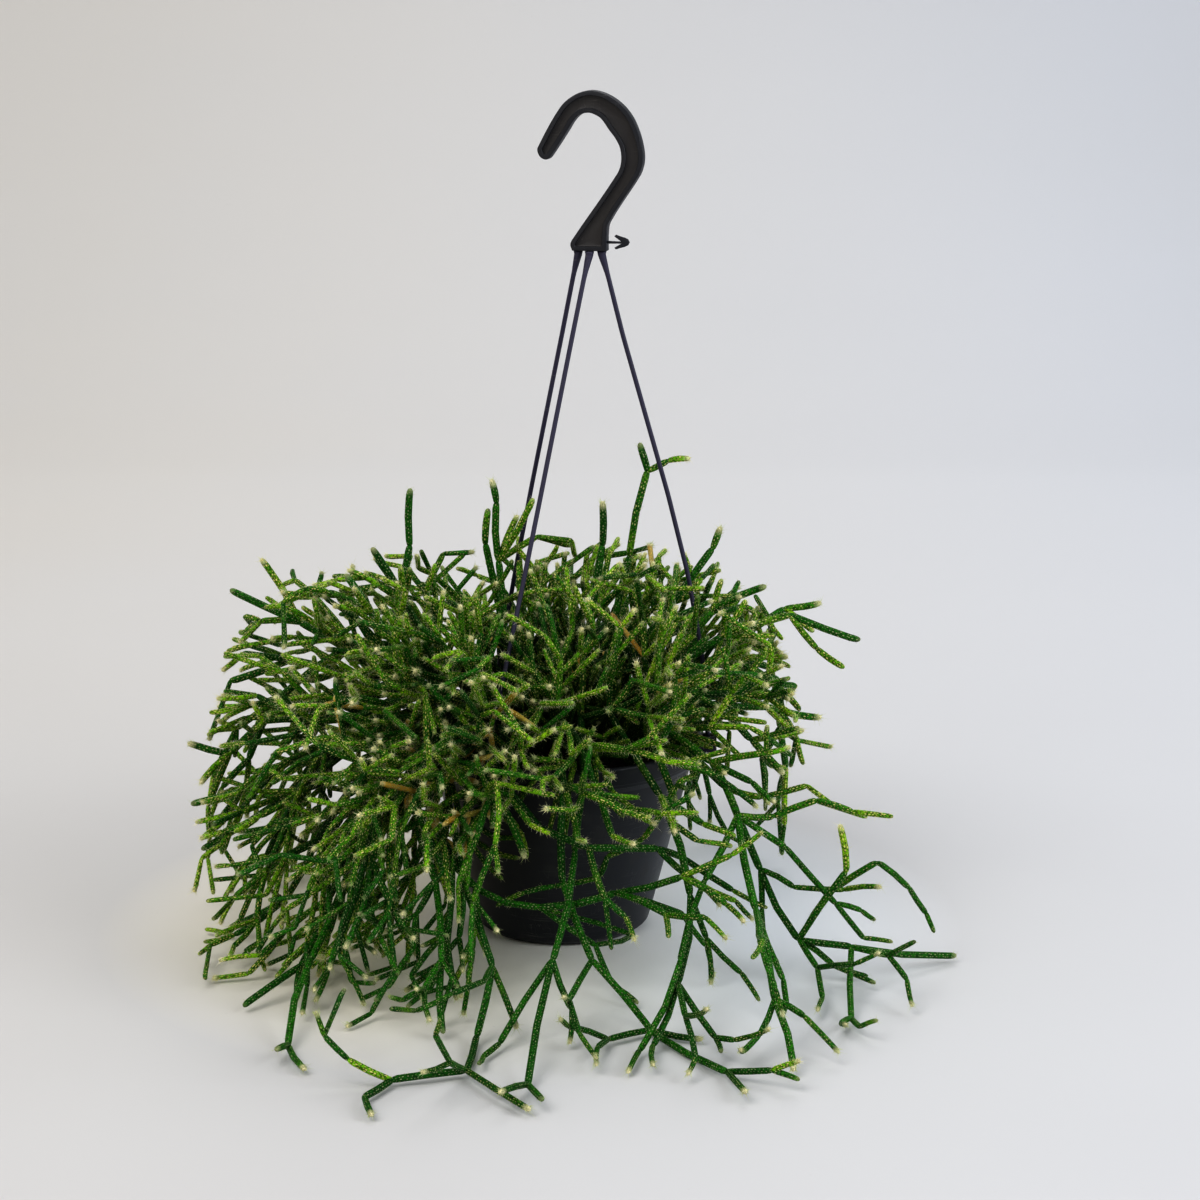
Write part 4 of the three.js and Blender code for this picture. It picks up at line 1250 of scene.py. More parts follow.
# The same painted shade dims the dots deep in the bush.
bright = tree.times(dots["Dot"], tree.less(0.8, tree.times(shade, 0.65)))
green = tree.mix(bright, green, cream)
tree.set(shader, "Base Color", green)
tree.set(shader, "Roughness", tree.ramp(grain, 0.3, 0.7, 0.42, 0.6))
shader.inputs["Specular IOR Level"].default_value = 0.14
relief = tree.plus(tree.times(dots["Dot"], 0.6), tree.times(dots["Ring"], -0.5))
relief = tree.plus(relief, tree.times(grain, 0.2))
tree.bump(shader, relief, 0.7, 0.3 * MM)
print("stem material nodes:", len(stem_skin.node_tree.nodes))


# %% [markdown]
# ## Round stems
# A real joint is a fleshy rod. Thousands of them could be sculpted or bevelled
# curves, but one tree of Geometry Nodes can pull a ring of ten points along every
# row of edges, as wide as the row says, and give it the map that the dots follow.

# %% Geometry Nodes helpers
def geometry_tree(name, sockets):
    group = bpy.data.node_groups.new(name, "GeometryNodeTree")
    group.interface.new_socket("Geometry", in_out="INPUT", socket_type="NodeSocketGeometry")
    for label, kind in sockets:
        group.interface.new_socket(label, in_out="INPUT", socket_type=kind)
    group.interface.new_socket("Geometry", in_out="OUTPUT", socket_type="NodeSocketGeometry")
    tree = Tree(group)
    return group, tree, tree.add("NodeGroupInput").outputs, tree.add("NodeGroupOutput")


def named(tree, name, kind="FLOAT"):
    node = tree.add("GeometryNodeInputNamedAttribute", {"Name": name}, data_type=kind)
    return node.outputs["Attribute"]


def grown_mesh(name, source, group, values):
    """Run a tree on a mesh of edges and keep what comes out as a plain mesh."""
    modifier = source.modifiers.new(group.name, "NODES")
    modifier.node_group = group
    for item in group.interface.items_tree:
        if item.in_out == "INPUT" and item.name in values:
            modifier[item.identifier] = values[item.name]
    graph = bpy.context.evaluated_depsgraph_get()
    mesh = bpy.data.meshes.new_from_object(source.evaluated_get(graph))
    source.modifiers.remove(modifier)
    mesh.name = name
    for spare in ("side", "along", "around", "thickness"):
        if spare in mesh.attributes:
            mesh.attributes.remove(mesh.attributes[spare])
    return in_scene(name, mesh)


def triangles(obj):
    return sum(len(p.vertices) - 2 for p in obj.data.polygons)


print("geometry helpers ready")

# %% Tubes that follow the centre lines
tubes, tree, given, out = geometry_tree("round_stems", [("Sides", "NodeSocketInt"), ("Weld", FLOAT),
                                                        ("Material", "NodeSocketMaterial")])
curve = tree.made("GeometryNodeMeshToCurve", {0: given["Geometry"]})
curve = tree.made("GeometryNodeSetCurveNormal", {0: curve, "Normal": named(tree, "side", "FLOAT_VECTOR")},
                  mode="FREE")
points_round = tree.plus(given["Sides"], 1.0)
arc = tree.made("GeometryNodeCurveArc", {"Resolution": points_round, "Radius": 1.0, "Start Angle": 0.0,
                                         "Sweep Angle": 2 * math.pi}, mode="RADIUS")
share = tree.add("GeometryNodeSplineParameter").outputs["Factor"]
arc = tree.made("GeometryNodeStoreNamedAttribute", {0: arc, "Name": "around", "Value": share},
                data_type="FLOAT", domain="POINT")
tube = tree.made("GeometryNodeCurveToMesh", {"Curve": curve, "Profile Curve": arc,
                                             "Scale": named(tree, "thickness")})
mapped = tree.made("ShaderNodeCombineXYZ", {"X": named(tree, "around"), "Y": named(tree, "along")})
tube = tree.made("GeometryNodeStoreNamedAttribute", {0: tube, "Name": "stem_map", "Value": mapped},
                 data_type="FLOAT2", domain="CORNER")
tube = tree.made("GeometryNodeMergeByDistance", {0: tube, "Distance": given["Weld"]})
tube = tree.made("GeometryNodeSetShadeSmooth", {0: tube})
tube = tree.made("GeometryNodeRealizeInstances", {0: tube})
tube = tree.made("GeometryNodeSetMaterial", {0: tube, "Material": given["Material"]})
tree.set(out, "Geometry", tube)

print("tube tree nodes:", len(tubes.nodes))

# %% Three pieces of stems
STEM_SIDES = 10
stem_nodes = [f"stem_{k + 1:02d}" for k in range(SPRAY_COUNT)]
stem_pieces = []
for name, lines in centre_lines.items():
    piece = grown_mesh(name, lines, tubes, {"Sides": STEM_SIDES, "Weld": 0.01 * MM, "Material": stem_skin})
    stem_pieces.append(piece)
    print(name, "triangles:", triangles(piece))


# %% [markdown]
# ## Bristles and woolly tips
# Areoles bear fine hairs a few millimetres long, pale and dense on young joints,
# thin and often lost on old ones, and each growing tip ends in cream wool. Hair
# curves would be lost when the model leaves Blender, so each hair is a slim cone
# of three faces. The centre lines are walked in steps of one eighth of the areole
# spacing, and each step turns on by five rows, which lands on every areole in turn.

# %% Hair material
hair, tree, shader = new_material("pale_bristle")
place = tree.object_place()
spots = tree.noise(place, 90.0, 2.0)
fine = tree.noise(place, 900.0, 1.0)
youth = tree.carried("youth")
pale = tree.mix(tree.ramp(spots, 0.35, 0.65), (0.74, 0.70, 0.36, 1), (0.92, 0.88, 0.66, 1))
pale = tree.mix(tree.ramp(youth, 0.2, 0.9), tree.mix(0.6, pale, (0.30, 0.42, 0.10, 1)), pale)
pale = tree.mix(tree.ramp(fine, 0.5, 0.75, 0.0, 0.5), pale, (0.90, 0.87, 0.74, 1))
tree.set(shader, "Base Color", pale)
tree.set(shader, "Roughness", tree.ramp(fine, 0.3, 0.7, 0.45, 0.7))
print("hair material nodes:", len(hair.node_tree.nodes))


# %% Sums of directions, and needles
def scaled(tree, vector, factor):
    node = tree.add("ShaderNodeVectorMath", {0: vector}, operation="SCALE")
    tree.set(node, "Scale", factor)
    return node.outputs[0]


def vector_sum(tree, *vectors):
    total = vectors[0]
    for other in vectors[1:]:
        total = tree.made("ShaderNodeVectorMath", {0: total, 1: other}, operation="ADD")
    return total


def random_vector(tree, seed):
    return tree.made("FunctionNodeRandomValue", {0: (-1, -1, -1), 1: (1, 1, 1), "Seed": seed},
                     data_type="FLOAT_VECTOR")


def random_number(tree, low, high, seed):
    node = tree.add("FunctionNodeRandomValue", {2: low, 3: high, "Seed": seed}, data_type="FLOAT")
    return node.outputs[1]


def needles_on(tree, points, direction, reach, width, material):
    """Stand a three-sided cone on every point, along the direction given there."""
    cone = tree.made("GeometryNodeMeshCone", {"Vertices": 3, "Radius Top": 0.0, "Radius Bottom": 1.0,
                                              "Depth": 1.0}, fill_type="NONE")
    turn = tree.made("FunctionNodeAlignRotationToVector", {"Vector": direction}, axis="Z")
    size = tree.made("ShaderNodeCombineXYZ", {"X": width, "Y": width, "Z": reach})
    grown = tree.made("GeometryNodeInstanceOnPoints", {"Points": points, "Instance": cone,
                                                       "Rotation": turn, "Scale": size})
    grown = tree.made("GeometryNodeRealizeInstances", {0: grown})
    return tree.made("GeometryNodeSetMaterial", {0: grown, "Material": material})


print("needle tools ready")

# %% Bristles stand on the areoles
bristles, tree, given, out = geometry_tree(
    "areole_bristles", [("Step", FLOAT), ("Old Length", FLOAT), ("Young Length", FLOAT), ("Width", FLOAT),
                        ("Tilt", FLOAT), ("Old Share", FLOAT), ("Young Share", FLOAT),
                        ("Seed", "NodeSocketInt"), ("Material", "NodeSocketMaterial")])
curve = tree.made("GeometryNodeMeshToCurve", {0: given["Geometry"]})
walk = tree.add("GeometryNodeCurveToPoints", {0: curve, "Length": given["Step"]}, mode="LENGTH")
points, tangent = walk.outputs["Points"], walk.outputs["Tangent"]
along, thickness, age = named(tree, "along"), named(tree, "thickness"), named(tree, "youth")
number = tree.math("ROUND", tree.math("DIVIDE", along, given["Step"]))
angle = tree.times(tree.plus(tree.times(number, 5.0), 1.5), 2 * math.pi / AREOLE_ROWS)
side = named(tree, "side", "FLOAT_VECTOR")
other = tree.made("ShaderNodeVectorMath", {0: tangent, 1: side}, operation="CROSS_PRODUCT")
outward = vector_sum(tree, scaled(tree, side, tree.math("COSINE", angle)),
                     scaled(tree, other, tree.math("SINE", angle)))
slip = tree.less(tree.times(number, given["Step"]), along)
offset = vector_sum(tree, scaled(tree, tangent, slip), scaled(tree, outward, tree.times(thickness, 0.95)))
fleece = named(tree, "wool")
age = tree.math("MAXIMUM", age, tree.times(fleece, 3.5))
share = tree.made("ShaderNodeMapRange", {"Value": age, "From Min": 0.25, "From Max": 1.0,
                                         "To Min": given["Old Share"],
                                         "To Max": given["Young Share"]})
share = tree.times(share, tree.ramp(named(tree, "core"), 0.1, 0.4, 1.0, 0.0))
bald = tree.math("GREATER_THAN", random_number(tree, 0.0, 1.0, given["Seed"]), share)
thin = tree.math("LESS_THAN", thickness, 0.0004)
points = tree.made("GeometryNodeDeleteGeometry", {0: points, "Selection": tree.math("MAXIMUM", bald, thin)},
                   domain="POINT")
points = tree.made("GeometryNodeSetPosition", {0: points, "Offset": offset})
lean = tree.plus(tree.math("SINE", given["Tilt"]), tree.times(fleece, 0.4))
direction = vector_sum(tree, scaled(tree, outward, tree.math("COSINE", given["Tilt"])),
                       scaled(tree, tangent, lean),
                       scaled(tree, random_vector(tree, given["Seed"]), 0.42))
reach = tree.plus(tree.times(age, tree.less(given["Young Length"], given["Old Length"])),
                  given["Old Length"])
reach = tree.times(reach, random_number(tree, 0.55, 1.25, given["Seed"]))
tree.set(out, "Geometry", needles_on(tree, points, direction, reach, given["Width"], given["Material"]))

hair_pieces = []
for name, lines in centre_lines.items():
    piece = grown_mesh(name.replace("stems", "bristles"), lines, bristles, {
        "Step": AREOLE_STEP / AREOLE_ROWS, "Old Length": 1.7 * MM, "Young Length": 3.0 * MM,
        "Width": 0.1 * MM, "Tilt": 0.55, "Old Share": 0.18, "Young Share": 0.9, "Seed": 3,
        "Material": hair})
    hair_pieces.append(piece)
    print(piece.name, "triangles:", triangles(piece))

# %% [markdown]
# ## Wool on the tips
# At a growing point the bristles stand so close that they look like a tuft of
# wool. Each woolly tip keeps its last point, which is copied twenty times, and a
# cone stands on every copy, spread a little by chance.

# %% Wool on the growing tips
TUFT_DEPTH = 2.4 * MM
tufts, tree, given, out = geometry_tree(
    "tip_wool", [("Length", FLOAT), ("Width", FLOAT), ("Hairs", "NodeSocketInt"), ("Spread", FLOAT),
                 ("Seed", "NodeSocketInt"), ("Material", "NodeSocketMaterial")])
curve = tree.made("GeometryNodeMeshToCurve", {0: given["Geometry"]})
walk = tree.add("GeometryNodeCurveToPoints", {0: curve}, mode="EVALUATED")
points, tangent = walk.outputs["Points"], walk.outputs["Tangent"]
woolly = named(tree, "tip")
not_tip = tree.math("LESS_THAN", woolly, 0.5)
points = tree.made("GeometryNodeDeleteGeometry", {0: points, "Selection": not_tip}, domain="POINT")
points = tree.made("GeometryNodeDuplicateElements", {0: points, "Amount": given["Hairs"]}, domain="POINT")
spread = scaled(tree, random_vector(tree, given["Seed"]), given["Spread"])
points = tree.made("GeometryNodeSetPosition", {0: points, "Offset": vector_sum(
     tree, scaled(tree, tangent, -TUFT_DEPTH), scaled(tree, spread, TUFT_DEPTH))})
direction = vector_sum(tree, tangent, spread)
reach = tree.times(given["Length"], random_number(tree, 0.6, 1.1, given["Seed"]))
reach = tree.times(reach, tree.ramp(woolly, 0.0, 1.0, 0.5, 1.0))
tree.set(out, "Geometry", needles_on(tree, points, direction, reach, given["Width"], given["Material"]))

for name, lines in centre_lines.items():
    piece = grown_mesh(name.replace("stems", "tip_wool"), lines, tufts, {
        "Length": 3.0 * MM, "Width": 0.18 * MM, "Hairs": 20, "Spread": 0.55, "Seed": 8, "Material": hair})
    hair_pieces.append(piece)
    print(piece.name, "triangles:", triangles(piece))


# %% [markdown]
# ## The pot
# A hanging pot is blown or moulded in one piece: a thin cone with a deep rim band,
# a soft lip, three lugs for the hanger and holes in its floor. It is turned on a
# lathe from one outline, which gives an even wall and round edges for little
# work; the lugs are joined and the slots and holes are cut, then every edge that
# is still sharp gets a small round, as a moulded edge has.

# %% Group for worn plastic
worn, tree, given, out = group_with(
    "worn_plastic", [("Place", VECTOR, (0, 0, 0)), ("Scale", FLOAT, 1.0), ("Seed", FLOAT, 0.0)],
    [("Clouds", FLOAT), ("Grain", FLOAT), ("Scratches", FLOAT), ("Dust", FLOAT)])
place = tree.add("ShaderNodeVectorMath", {0: given["Place"]}, operation="SCALE")
tree.set(place, "Scale", given["Scale"])
place = place.outputs[0]


def worn_noise(scale, detail, stretch=(1, 1, 1), shift=0.0):
    placed_at = tree.made("ShaderNodeMapping", {"Vector": place, "Location": (shift, shift, shift),
                                                "Scale": stretch})
    return tree.add("ShaderNodeTexNoise", {"Vector": placed_at, "W": given["Seed"], "Scale": scale,
                                           "Detail": detail}, noise_dimensions="4D").outputs["Fac"]


level = worn_noise(9.0, 1.0, (1, 1, 60))
slanting = worn_noise(14.0, 1.0, (18, 22, 3), 3.0)
broken = tree.ramp(worn_noise(30.0, 2.0), 0.5, 0.62)
line_one = tree.ramp(tree.math("ABSOLUTE", tree.less(level, 0.5)), 0.006, 0.0)
line_two = tree.ramp(tree.math("ABSOLUTE", tree.less(slanting, 0.47)), 0.005, 0.0)
tree.set(out, "Clouds", worn_noise(16.0, 3.0))
tree.set(out, "Grain", worn_noise(1500.0, 2.0))
tree.set(out, "Scratches", tree.times(tree.math("MAXIMUM", line_one, line_two), broken))
tree.set(out, "Dust", tree.ramp(worn_noise(70.0, 6.0), 0.52, 0.78))
print("worn plastic nodes:", len(worn.nodes))

# %% Three plastics
RECESS_GREY, SCRATCH_GREY = (0.030, 0.026, 0.024, 1), (0.22, 0.21, 0.19, 1)


def plastic(name, dark, light, dust, roughness, seed):
    """Satin plastic: cloudy base, pale broken scratches, settled dust, fine grain."""
    material, tree, shader = new_material(name)
    place = tree.object_place()
    wear = tree.add("ShaderNodeGroup", {}, node_tree=worn)
    tree.set(wear, "Place", place)
    wear.inputs["Seed"].default_value = seed
    wear = wear.outputs
    base = tree.mix(tree.ramp(wear["Clouds"], 0.3, 0.7), dark, light)
    recess = tree.carried("recess")
    base = tree.mix(tree.times(recess, 0.7), base, RECESS_GREY)
    base = tree.mix(tree.times(wear["Scratches"], 0.35), base, SCRATCH_GREY)
    tree.set(shader, "Base Color", tree.mix(tree.times(wear["Dust"], 0.22), base, dust))
    rough = tree.ramp(wear["Clouds"], 0.3, 0.7, roughness, roughness + 0.14)
    tree.set(shader, "Roughness", tree.plus(rough, tree.times(wear["Dust"], 0.2)))
    height = tree.plus(tree.times(wear["Grain"], 0.5),
                       tree.times(wear["Scratches"], -0.8))
    tree.bump(shader, height, 0.35, 0.2 * MM)
    return material


pot_plastic = plastic("pot_plastic_worn", (0.009, 0.011, 0.016, 1), (0.017, 0.019, 0.025, 1),
                      (0.11, 0.10, 0.085, 1), 0.34, 2.0)
hook_plastic = plastic("hanger_plastic_worn", (0.0085, 0.0095, 0.014, 1), (0.014, 0.015, 0.020, 1),
                       (0.060, 0.055, 0.045, 1), 0.4, 5.0)
strand_plastic = plastic("strand_plastic_worn", (0.022, 0.019, 0.046, 1), (0.036, 0.032, 0.066, 1),
                         (0.06, 0.058, 0.06, 1), 0.38, 9.0)
print("plastic materials:", pot_plastic.name, hook_plastic.name, strand_plastic.name)


# %% [markdown]
# ## Tools for moulded pieces
# A mould leaves soft edges and even walls. The same few steps make them for the
# pot, the lugs and the soil: turn an outline, swap each corner for an arc, join or
# cut a box, and ease what is still sharp. A bevel with a limit on its angle would
# also do for the outline, but arcs in the outline give cleaner rings.

# %% Lathe and rounded outlines
ARC_STEPS = 3


def lathe_object(name, outline, sides):
    """Turn (radius, height) pairs about Z; an end on the axis becomes one point."""
    points, faces, rings = [], [], []
    for r, z in outline:
        if r == 0:
            rings.append([len(points)] * sides)
            points.append((0, 0, z * MM))
            continue
        rings.append([len(points) + k for k in range(sides)])
        for k in range(sides):
            angle = 2 * math.pi * k / sides
            points.append((r * MM * math.cos(angle), r * MM * math.sin(angle), z * MM))
    for low, high in zip(rings, rings[1:]):
        for k in range(sides):
            j = (k + 1) % sides
            corners = [low[k], low[j], high[j], high[k]]
            faces.append(list(dict.fromkeys(corners)))
    return mesh_object(name, points, faces)


def rounded(corner_list):
    """Swap each (radius, height, round) corner for a short arc of that size."""
    out = []
    n = len(corner_list)
    for k, (r, z, size) in enumerate(corner_list):
        if size == 0 or k in (0, n - 1):
            out.append((r, z))
            continue
        here = Vector((r, z))
        before = Vector(corner_list[k - 1][:2]) - here
        after = Vector(corner_list[k + 1][:2]) - here
        reach = min(size, before.length * 0.45, after.length * 0.45)
        first, last = here + before.normalized() * reach, here + after.normalized() * reach
        for i in range(ARC_STEPS + 1):
            t = i / ARC_STEPS
            p = first * (1 - t) ** 2 + here * 2 * t * (1 - t) + last * t * t
            out.append((p.x, p.y))
    return out


print("a round has", ARC_STEPS + 1, "points")


# %% Boxes, joins and cuts
def box_object(name, size, place, degrees):
    bm = bmesh.new()
    bmesh.ops.create_cube(bm, size=1.0)
    bmesh.ops.scale(bm, vec=[s * MM for s in size], verts=bm.verts)
    bmesh.ops.translate(bm, vec=[p * MM for p in place], verts=bm.verts)
    turn = Matrix.Rotation(math.radians(degrees), 3, "Z")
    bmesh.ops.rotate(bm, cent=(0, 0, 0), matrix=turn, verts=bm.verts)
    mesh = bpy.data.meshes.new(name)
    bm.to_mesh(mesh)
    bm.free()
    return in_scene(name, mesh)


def baked(obj):
    """Make the modifiers' result the mesh itself."""
    graph = bpy.context.evaluated_depsgraph_get()
    mesh = bpy.data.meshes.new_from_object(obj.evaluated_get(graph))
    obj.modifiers.clear()
    old = obj.data
    obj.data = mesh
    bpy.data.meshes.remove(old)
    mesh.name = obj.name
    return obj


def cut_or_join(obj, tools, operation):
    for tool in tools:
        modifier = obj.modifiers.new(tool.name, "BOOLEAN")
        modifier.operation = operation
        modifier.object = tool
        modifier.solver = "EXACT"
    baked(obj)
    for tool in tools:
        bpy.data.objects.remove(tool)


print("boxes and cuts ready")

# %% Soft edges and one material
EASE_ABOVE, SHARP_ABOVE, HOOK_SHARP_ABOVE = 35, 50, 40


def eased(obj, width):
    """Round the edges that are still sharp, and shade what is smooth as smooth."""
    bevel = obj.modifiers.new("eased_edges", "BEVEL")
    bevel.width = width * MM
    bevel.segments = 2
    bevel.limit_method = "ANGLE"
    bevel.angle_limit = math.radians(EASE_ABOVE)
    bevel.harden_normals = False
    baked(obj)
    obj.data.shade_smooth()
    obj.data.set_sharp_from_angle(angle=math.radians(SHARP_ABOVE))


def dressed_in(obj, material):
    obj.data.materials.clear()
    obj.data.materials.append(material)
    for polygon in obj.data.polygons:
        polygon.material_index = 0


print("edges over", EASE_ABOVE, "degrees are eased")

# %% Outline of the pot
BAND_LOW = POT_HEIGHT - RIM_BAND
SHOULDER = 79
# Each corner: radius, height, size of its round.
pot_outline = [
    (0, 0.0, 0), (BASE_RADIUS - 4, 0, 0.6), (BASE_RADIUS, 3, 1.6), (BASE_RADIUS + 3, 14, 6),
    (SHOULDER, BAND_LOW - 8, 2), (SHOULDER + 2, BAND_LOW, 0.5), (RIM_RADIUS - 1.5, BAND_LOW + 0.6, 0.6),
    (RIM_RADIUS - 1.25, BAND_LOW + 2.6, 0.5), (RIM_RADIUS - 0.9, BAND_LOW + 3.0, 0.3),
    (RIM_RADIUS - 0.2, POT_HEIGHT - 3.2, 0.6), (RIM_RADIUS, POT_HEIGHT - 1.6, 0.8),
    (RIM_RADIUS - 0.9, POT_HEIGHT, 0.9), (RIM_RADIUS - WALL - 0.8, POT_HEIGHT, 0.6),
    (RIM_RADIUS - WALL - 2, BAND_LOW, 1), (SHOULDER - WALL, BAND_LOW - 8, 2),
    (BASE_RADIUS + 3 - WALL, 14, 5), (BASE_RADIUS - WALL, FLOOR_THICKNESS + 1.5, 1),
    (BASE_RADIUS - WALL - 3, FLOOR_THICKNESS, 0.5), (0, FLOOR_THICKNESS, 0)]
print("corners of the pot's outline:", len(pot_outline))

# %% Turn the pot, join the lugs, cut the slots and drains
POT_SIDES, DRAIN_SIDES = 120, 24
LUG_SIZE, SLOT_SIZE = (11.2, 13, LUG_HEIGHT), (6.6, 4.2, LUG_HEIGHT + 4)
DRAIN_RADIUS, DRAIN_CIRCLE = 4, 34
pot = lathe_object("pot_dressed", rounded(pot_outline), POT_SIDES)
lugs, slots = [], []
for degrees in CLIP_ANGLES:
    middle = LUG_TOP - LUG_HEIGHT / 2
    lugs.append(box_object("lug", LUG_SIZE, (LUG_RADIUS - 0.1, 0, middle), degrees))
    slots.append(box_object("slot", SLOT_SIZE, (LUG_RADIUS + 0.6, 0, middle), degrees))
for k in range(4):
    angle = k * math.pi / 2 + 0.6
    drain = lathe_object("drain", [(0, -5), (DRAIN_RADIUS, -5), (DRAIN_RADIUS, 8), (0, 8)], DRAIN_SIDES)
    place = (DRAIN_CIRCLE * MM * math.cos(angle), DRAIN_CIRCLE * MM * math.sin(angle), 0)
    drain.data.transform(Matrix.Translation(place))
    slots.append(drain)
cut_or_join(pot, lugs, "UNION")
cut_or_join(pot, slots, "DIFFERENCE")
eased(pot, 0.35)
dressed_in(pot, pot_plastic)
print("pot triangles:", triangles(pot))

# %% [markdown]
# ## The hanger
# The hanger is one moulding: a flat hook that is hollowed on both faces to a web
# with a raised border, a small barb for a label, and three thin strands that
# snap under the lugs. The hook is a stack of rings of one outline, drawn in for
# each ring, so border, web and rounded edges come from one row of numbers.

# %% Outlines of the hook and its barb
HOOK_OUTLINE = [
    (-30.2, 60.6), (-16.6, 84.1), (-8.3, 91.2), (1.2, 94.1), (11.2, 91.8), (20.1, 85.9),
    (26, 78.8), (29.6, 71.2), (32, 63.5), (33.1, 55.9), (32.5, 50), (30.2, 44.1),
    (12.4, 16.5), (11.2, 8.8), (11.2, 0), (-9.5, 0), (-10.6, 3.5), (-9.5, 6.5),
    (17.8, 45.9), (20.1, 52.9), (19.5, 60.6), (16.6, 66.5), (13, 71.2), (8.3, 77.6),
    (4.7, 80), (0.6, 81.2), (-4.7, 80), (-8.9, 75.9), (-11.8, 71.2), (-22.5, 55.3),
    (-24.9, 53.5), (-28.4, 54.7), (-30.2, 57.6)]
HOOK_CORNERS = {13, 14, 15}
BARB_OUTLINE = [(10, 5.9), (19.6, 5.6), (15.4, 8.6), (16.4, 9.6), (24.6, 5.2),
                (16.4, 0.9), (15.4, 1.9), (19.6, 4.4), (10, 4.2)]
BARB_CORNERS = {0, 1, 2, 3, 5, 6, 7, 8}
HOOK_STEPS, BARB_STEPS = 5, 4
print("points of the hook's outline:", len(HOOK_OUTLINE))


# %% Rings of one outline
def softened(outline, corners, steps):
    """A curve through the points of a closed outline, sharp at the given corners."""
    n = len(outline)
    points = [Vector(p) for p in outline]
    curve = []
    for k in range(n):
        a, b = points[k], points[(k + 1) % n]
        chord = b - a
        ways = []
        for i, sharp in ((k, k in corners), ((k + 1) % n, (k + 1) % n in corners)):
            if sharp:
                ways.append(chord)
                continue
            d1, d2 = points[i] - points[i - 1], points[(i + 1) % n] - points[i]
            ways.append((d1 + d2).normalized() * chord.length)
        for i in range(steps):
            t = i / steps
            h = (2 * t ** 3 - 3 * t * t + 1, t ** 3 - 2 * t * t + t, 3 * t * t - 2 * t ** 3, t ** 3 - t * t)
            curve.append(a * h[0] + ways[0] * h[1] + b * h[2] + ways[1] * h[3])
    return curve


def inset(outline, distance):
    """The outline drawn in by a distance, each point along its own normal."""
    n = len(outline)
    drawn = []
    for k, p in enumerate(outline):
        d1 = (p - outline[k - 1]).normalized()
        d2 = (outline[(k + 1) % n] - p).normalized()
        normal = Vector((d1.y + d2.y, -d1.x - d2.x)).normalized()
        drawn.append(p + normal * distance / max(0.6, normal.dot(Vector((d1.y, -d1.x)))))
    return drawn


print("a ring has", len(softened(HOOK_OUTLINE, HOOK_CORNERS, HOOK_STEPS)), "points")


# %% Stack of rings
def ring_stack(name, outline, corners, steps, rings):
    """Join rings of one outline, each (inset, y, recess), and close both ends."""
    outline = [Vector(p) for p in outline]
    bm = bmesh.new()
    recess = bm.verts.layers.float.new("recess")
    loops = []
    for distance, y, deep in rings:
        ring = softened(inset(outline, distance), corners, steps)
        loop = [bm.verts.new((p.x * MM, y * MM, p.y * MM)) for p in ring]
        for vert in loop:
            vert[recess] = deep
        loops.append(loop)
    n = len(loops[0])
    for low, high in zip(loops, loops[1:]):
        for k in range(n):
            bm.faces.new((low[k], low[(k + 1) % n], high[(k + 1) % n], high[k]))
    ends = [bm.faces.new(loops[0]), bm.faces.new(loops[-1])]
    bm.normal_update()
    bmesh.ops.triangulate(bm, faces=ends, ngon_method="EAR_CLIP")
    bmesh.ops.recalc_face_normals(bm, faces=bm.faces)
    mesh = bpy.data.meshes.new(name)
    bm.to_mesh(mesh)
    bm.free()
    mesh.shade_smooth()
    mesh.set_sharp_from_angle(angle=math.radians(HOOK_SHARP_ABOVE))
    return in_scene(name, mesh)


def joined(name, *parts):
    """One mesh out of several closed ones that sit in one another."""
    bm = bmesh.new()
    for part in parts:
        bm.from_mesh(part.data)
    mesh = parts[0].data
    bm.to_mesh(mesh)
    bm.free()
    mesh.name = parts[0].name = name
    for part in parts[1:]:
        bpy.data.objects.remove(part)
    return parts[0]


print("ring tools ready")

# %% Hook with its web, border and barb
half = HOOK_THICKNESS / 2
deep = half - POCKET_DEPTH
# Each ring: distance drawn in, place across the hook, share of recess.
hook_rings = [(POCKET_INSET + 0.5, -deep, 1), (POCKET_INSET + 0.1, -deep - 0.25, 1),
              (POCKET_INSET, -half + 0.3, 0.3), (POCKET_INSET - 0.3, -half, 0), (0.55, -half, 0),
              (0.15, -half + 0.15, 0), (0, -half + 0.55, 0)]
hook_rings += [(d, -y, r) for d, y, r in reversed(hook_rings)]
hook = ring_stack("hanger_hook_dressed", HOOK_OUTLINE, HOOK_CORNERS, HOOK_STEPS, hook_rings)
barb = ring_stack("barb", BARB_OUTLINE, BARB_CORNERS, BARB_STEPS,
                  [(0.25, -0.8, 0), (0, -0.5, 0), (0, 0.5, 0), (0.25, 0.8, 0)])
hook = joined("hanger_hook_dressed", hook, barb)
hook.data.transform(Matrix.Translation([v * MM for v in HOOK_BASE]) @ Matrix.Rotation(HOOK_TURN, 4, "Z"))
dressed_in(hook, hook_plastic)
print("hook triangles:", triangles(hook))


# %% [markdown]
# ## Strands
# Three thin rods run from the hook's base to the lugs. They widen to a root where
# they leave the hook, bow a little, pass through the lug's slot and end in a flat
# foot under it. The tube rule of the stems follows them too, so that a rod is one
# more row of points with its own thickness.

# %% Route of a strand
STRAND_REACH = 1.2
BEND_REACH = 6


